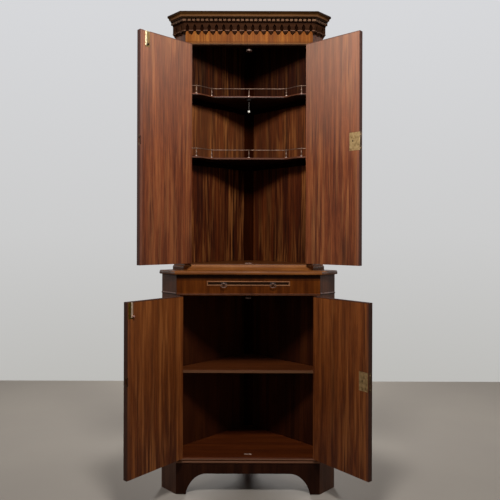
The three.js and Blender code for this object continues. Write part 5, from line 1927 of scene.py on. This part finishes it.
@dataclass
class PullSwitch(Assembly):
    """Small round switch under the high shelf with its cord and bead."""

    y: float = 161.0
    ceiling: float = 1665.0
    height: float = 9.0
    radius: float = 11.0
    cord: float = 40.0
    cord_radius: float = 0.9
    bead: float = 5.6

    def build(self) -> None:
        """Builds the switch, the cord and the bead."""
        low = self.ceiling - self.height
        shape = Shape()
        r, z = self.radius, self.ceiling
        rim = arc(r - 3.4, low + 3.4, 3.4, 3.4, -90, 0, 8)
        joint = [(r, z - 2.2), (r - 0.7, z - 1.8), (r - 0.7, z - 1.2), (r, z - 0.9), (r, z)]
        shape.turning([(0, low), *rim, *joint, (0, z)], 40, upright(0, self.y, 0))
        self.add("switch_case", shape, SWITCH_PLASTIC.material(), "dark_plastic", ["pull_switch"])
        top = low - SEAM
        end = top - self.cord
        bead = self.build_bead(end - SEAM)
        self.build_cord(top, end, bead)

    def build_bead(self, top: float) -> bpy.types.Object:
        """Builds the bead, drawn in a little at its mouth.

        Args:
            top: Level of its top.

        Returns:
            The piece.
        """
        r = self.bead
        turns = [math.radians(a) for a in range(0, 160, 8)]
        ball = [(r * math.sin(a), r * math.cos(a) * -1) for a in turns]
        profile = [(0, -r), *ball[1:], (2.4, r - 0.4), (1.7, r), (0, r)]
        shape = Shape()
        shape.turning(profile, 36, upright(0, self.y, top - r))
        plastic = BEAD_PLASTIC.material()
        return self.add("cord_bead", shape, plastic, "white_plastic", ["pull_bead"], body="pull")

    def build_cord(self, top: float, end: float, bead: bpy.types.Object) -> None:
        """Builds the twisted cord.

        Args:
            top, end: Levels of its two ends.
            bead: The bead that it carries; not used.
        """
        count, strands, turns, sides = 48, 3, 7, 18
        rings = []
        for i in range(count + 1):
            z = top + (end - top) * i / count
            twist = 2 * math.pi * turns * i / count
            ring = []
            for k in range(sides):
                a = 2 * math.pi * k / sides
                r = self.cord_radius * (0.9 + 0.1 * math.cos(strands * (a - twist / strands)))
                ring.append((r * math.cos(a), self.y + r * math.sin(a), z))
            rings.append(ring)
        shape = Shape()
        shape.skin(rings)
        fibre = CORD_FIBRE.material()
        cord = self.add("twisted_cord", shape, fibre, "cord_fibre", ["pull_cord"], body="pull")


# Studio


@dataclass
class Studio:
    """Pale floor, soft light and the camera."""

    eye: tuple[float, float, float] = (0.0061, -2.4075, 1.0669)
    lens: float = 40.64
    shift_y: float = -0.0295
    roll: float = 0.003
    floor_half: float = 12.0
    floor_rear: float = 1.72
    floor_colour: Colour = (167, 158, 147)
    floor_fade: tuple[float, float] = (2.6, 4.2)
    key_power: float = 24.0
    fill: float = 0.06

    def build(self) -> None:
        """Builds the studio."""
        self.build_camera()
        self.build_floor()
        self.build_lamps()
        self.build_world()
        bpy.context.scene.view_settings.view_transform = "Standard"

    def build_camera(self) -> None:
        """Places the camera."""
        data = bpy.data.cameras.new("camera")
        data.lens = self.lens
        data.sensor_width = 36.0
        data.shift_y = self.shift_y
        camera = bpy.data.objects.new("camera", data)
        tilt = Matrix.Rotation(math.pi / 2, 4, "X") @ Matrix.Rotation(self.roll, 4, "Z")
        camera.matrix_world = Matrix.Translation(self.eye) @ tilt
        bpy.context.scene.collection.objects.link(camera)
        bpy.context.scene.camera = camera

    def build_floor(self) -> None:
        """Lays the floor."""
        data = bpy.data.meshes.new("studio_floor")
        rear = self.floor_rear
        wide = self.floor_half
        corners = [(-wide, -wide, 0), (wide, -wide, 0), (wide, rear, 0), (-wide, rear, 0)]
        data.from_pydata(corners, [], [(0, 1, 2, 3)])
        floor = bpy.data.objects.new("studio_floor", data)
        bpy.context.scene.collection.objects.link(floor)
        recipe = Recipe("studio_floor_paint")
        cloud = recipe.noise(recipe.place(), 1.6, 3.0)
        low = tuple(round(c * 0.97) for c in self.floor_colour)
        recipe.paint(recipe.ramp(cloud, [(0.3, low), (0.7, self.floor_colour)]), 0.7)
        recipe.set(Specular_IOR_Level=0.2)
        self.fade_floor(recipe)
        data.materials.append(recipe.material)

    def fade_floor(self, recipe: Recipe) -> None:
        """Lets the far floor fade into the pale background where the camera sees it.

        Args:
            recipe: The floor's node tree.
        """
        distance = recipe.add("ShaderNodeVectorMath", operation="LENGTH")
        recipe.feed(distance.inputs[0], recipe.add("ShaderNodeNewGeometry").outputs["Position"])
        far = recipe.spread(distance.outputs["Value"], *self.floor_fade)
        seen = recipe.math("MULTIPLY", far, recipe.add("ShaderNodeLightPath").outputs["Is Camera Ray"])
        open_air = recipe.add("ShaderNodeBsdfTransparent")
        blend = recipe.add("ShaderNodeMixShader")
        output = recipe.surface.outputs[0].links[0].to_node
        recipe.feed(blend.inputs[0], seen)
        recipe.feed(blend.inputs[1], recipe.surface.outputs[0])
        recipe.feed(blend.inputs[2], open_air.outputs[0])
        recipe.feed(output.inputs["Surface"], blend.outputs[0])

    def add_lamp(self, name: str, place: Point, aim: Point, size: float, power: float) -> None:
        """Adds a soft square lamp.

        Args:
            name: Its name.
            place: Where it hangs.
            aim: What it looks at.
            size: Length of its side in metres.
            power: Its power in watts.
        """
        data = bpy.data.lights.new(name, "AREA")
        data.shape = "SQUARE"
        data.size = size
        data.energy = power
        lamp = bpy.data.objects.new(name, data)
        turned = (Vector(aim) - Vector(place)).to_track_quat("-Z", "Y").to_matrix().to_4x4()
        lamp.matrix_world = Matrix.Translation(place) @ turned
        lamp.visible_camera = False
        bpy.context.scene.collection.objects.link(lamp)

    def build_lamps(self) -> None:
        """Hangs a small key light in front and above, a wide one on each side and a low one behind."""
        self.add_lamp("key_light", (0.0, -1.17, 2.16), (0.0, 0.0, 1.0), 0.3, self.key_power)
        for side, name in ((-1, "left"), (1, "right")):
            place = (side * 2.9, 0.5, 2.2)
            self.add_lamp(f"{name}_light", place, (0.0, 0.0, 0.9), 1.5, self.key_power * 1.4)
        self.add_lamp("rear_light", (0.0, 2.8, 0.9), (0.0, 0.0, 0.5), 0.5, self.key_power * 1.5)

    def build_world(self) -> None:
        """Makes the pale background, and a weaker light for the diffuse surfaces."""
        world = bpy.data.worlds.new("studio_world")
        world.use_nodes = True
        tree = world.node_tree
        tree.nodes.clear()
        output = tree.nodes.new("ShaderNodeOutputWorld")
        mix = tree.nodes.new("ShaderNodeMixShader")
        plain = tree.nodes.new("ShaderNodeBackground")
        plain.inputs["Color"].default_value = linear((240, 240, 242))
        plain.inputs["Strength"].default_value = self.fill
        seen = tree.nodes.new("ShaderNodeBackground")
        ramp = tree.nodes.new("ShaderNodeValToRGB")
        stops = [(0.36, (186, 185, 181)), (0.5, (204, 204, 204)), (0.7, (216, 217, 220))]
        while len(ramp.color_ramp.elements) < len(stops):
            ramp.color_ramp.elements.new(0.5)
        for element, (position, colour) in zip(ramp.color_ramp.elements, stops):
            element.position = position
            element.color = linear(colour)
        split = tree.nodes.new("ShaderNodeSeparateXYZ")
        rise = tree.nodes.new("ShaderNodeMapRange")
        rise.inputs["From Min"].default_value = -1.0
        path = tree.nodes.new("ShaderNodeLightPath")
        either = [tree.nodes.new("ShaderNodeMath") for _ in range(2)]
        for node in either:
            node.operation = "MAXIMUM"
        for start, end in (
            (tree.nodes.new("ShaderNodeTexCoord").outputs["Generated"], split.inputs[0]),
            (split.outputs["Z"], rise.inputs["Value"]),
            (rise.outputs["Result"], ramp.inputs["Fac"]),
            (ramp.outputs["Color"], seen.inputs["Color"]),
            (path.outputs["Is Camera Ray"], either[0].inputs[0]),
            (path.outputs["Is Glossy Ray"], either[0].inputs[1]),
            (either[0].outputs[0], either[1].inputs[0]),
            (path.outputs["Is Transmission Ray"], either[1].inputs[1]),
            (either[1].outputs[0], mix.inputs["Fac"]),
            (plain.outputs[0], mix.inputs[1]),
            (seen.outputs[0], mix.inputs[2]),
            (mix.outputs[0], output.inputs["Surface"]),
        ):
            tree.links.new(start, end)
        bpy.context.scene.world = world


def main() -> None:
    """Builds the studio and every assembly in order."""
    logging.basicConfig(level=logging.INFO, format="%(message)s")
    Studio().build()
    assemblies: list[Assembly] = [
        PullSwitch(),
        Plinth(),
        LowerCase(),
        Slide(),
        UpperCase(),
        Cornice(),
        Door("lower", LOWER, -1, (152.0, 819.0), 130.0, replace(LOWER_DOOR, veils=0.34, flames=0.75), 521.0,
             face_from_edge=5.8, screws_from_face=5.0, bar=(10.6, 19.0), bolt_brasses=LOWER_BOLT_BRASSES),
        Door("lower", LOWER, 1, (152.0, 819.0), 130.0, LOWER_DOOR, 521.0, lock_face=(4.9, 46.6)),
        Door("upper", UPPER, -1, (946.0, 1872.0), 137.0, UPPER_DOOR, 1438.0),
        Door("upper", UPPER, 1, (946.0, 1872.0), 140.0, UPPER_DOOR, 1438.0),
    ]
    for assembly in assemblies:
        LOG.info("building %s", type(assembly).__name__)
        assembly.build()


if __name__ == "__main__":
    main()
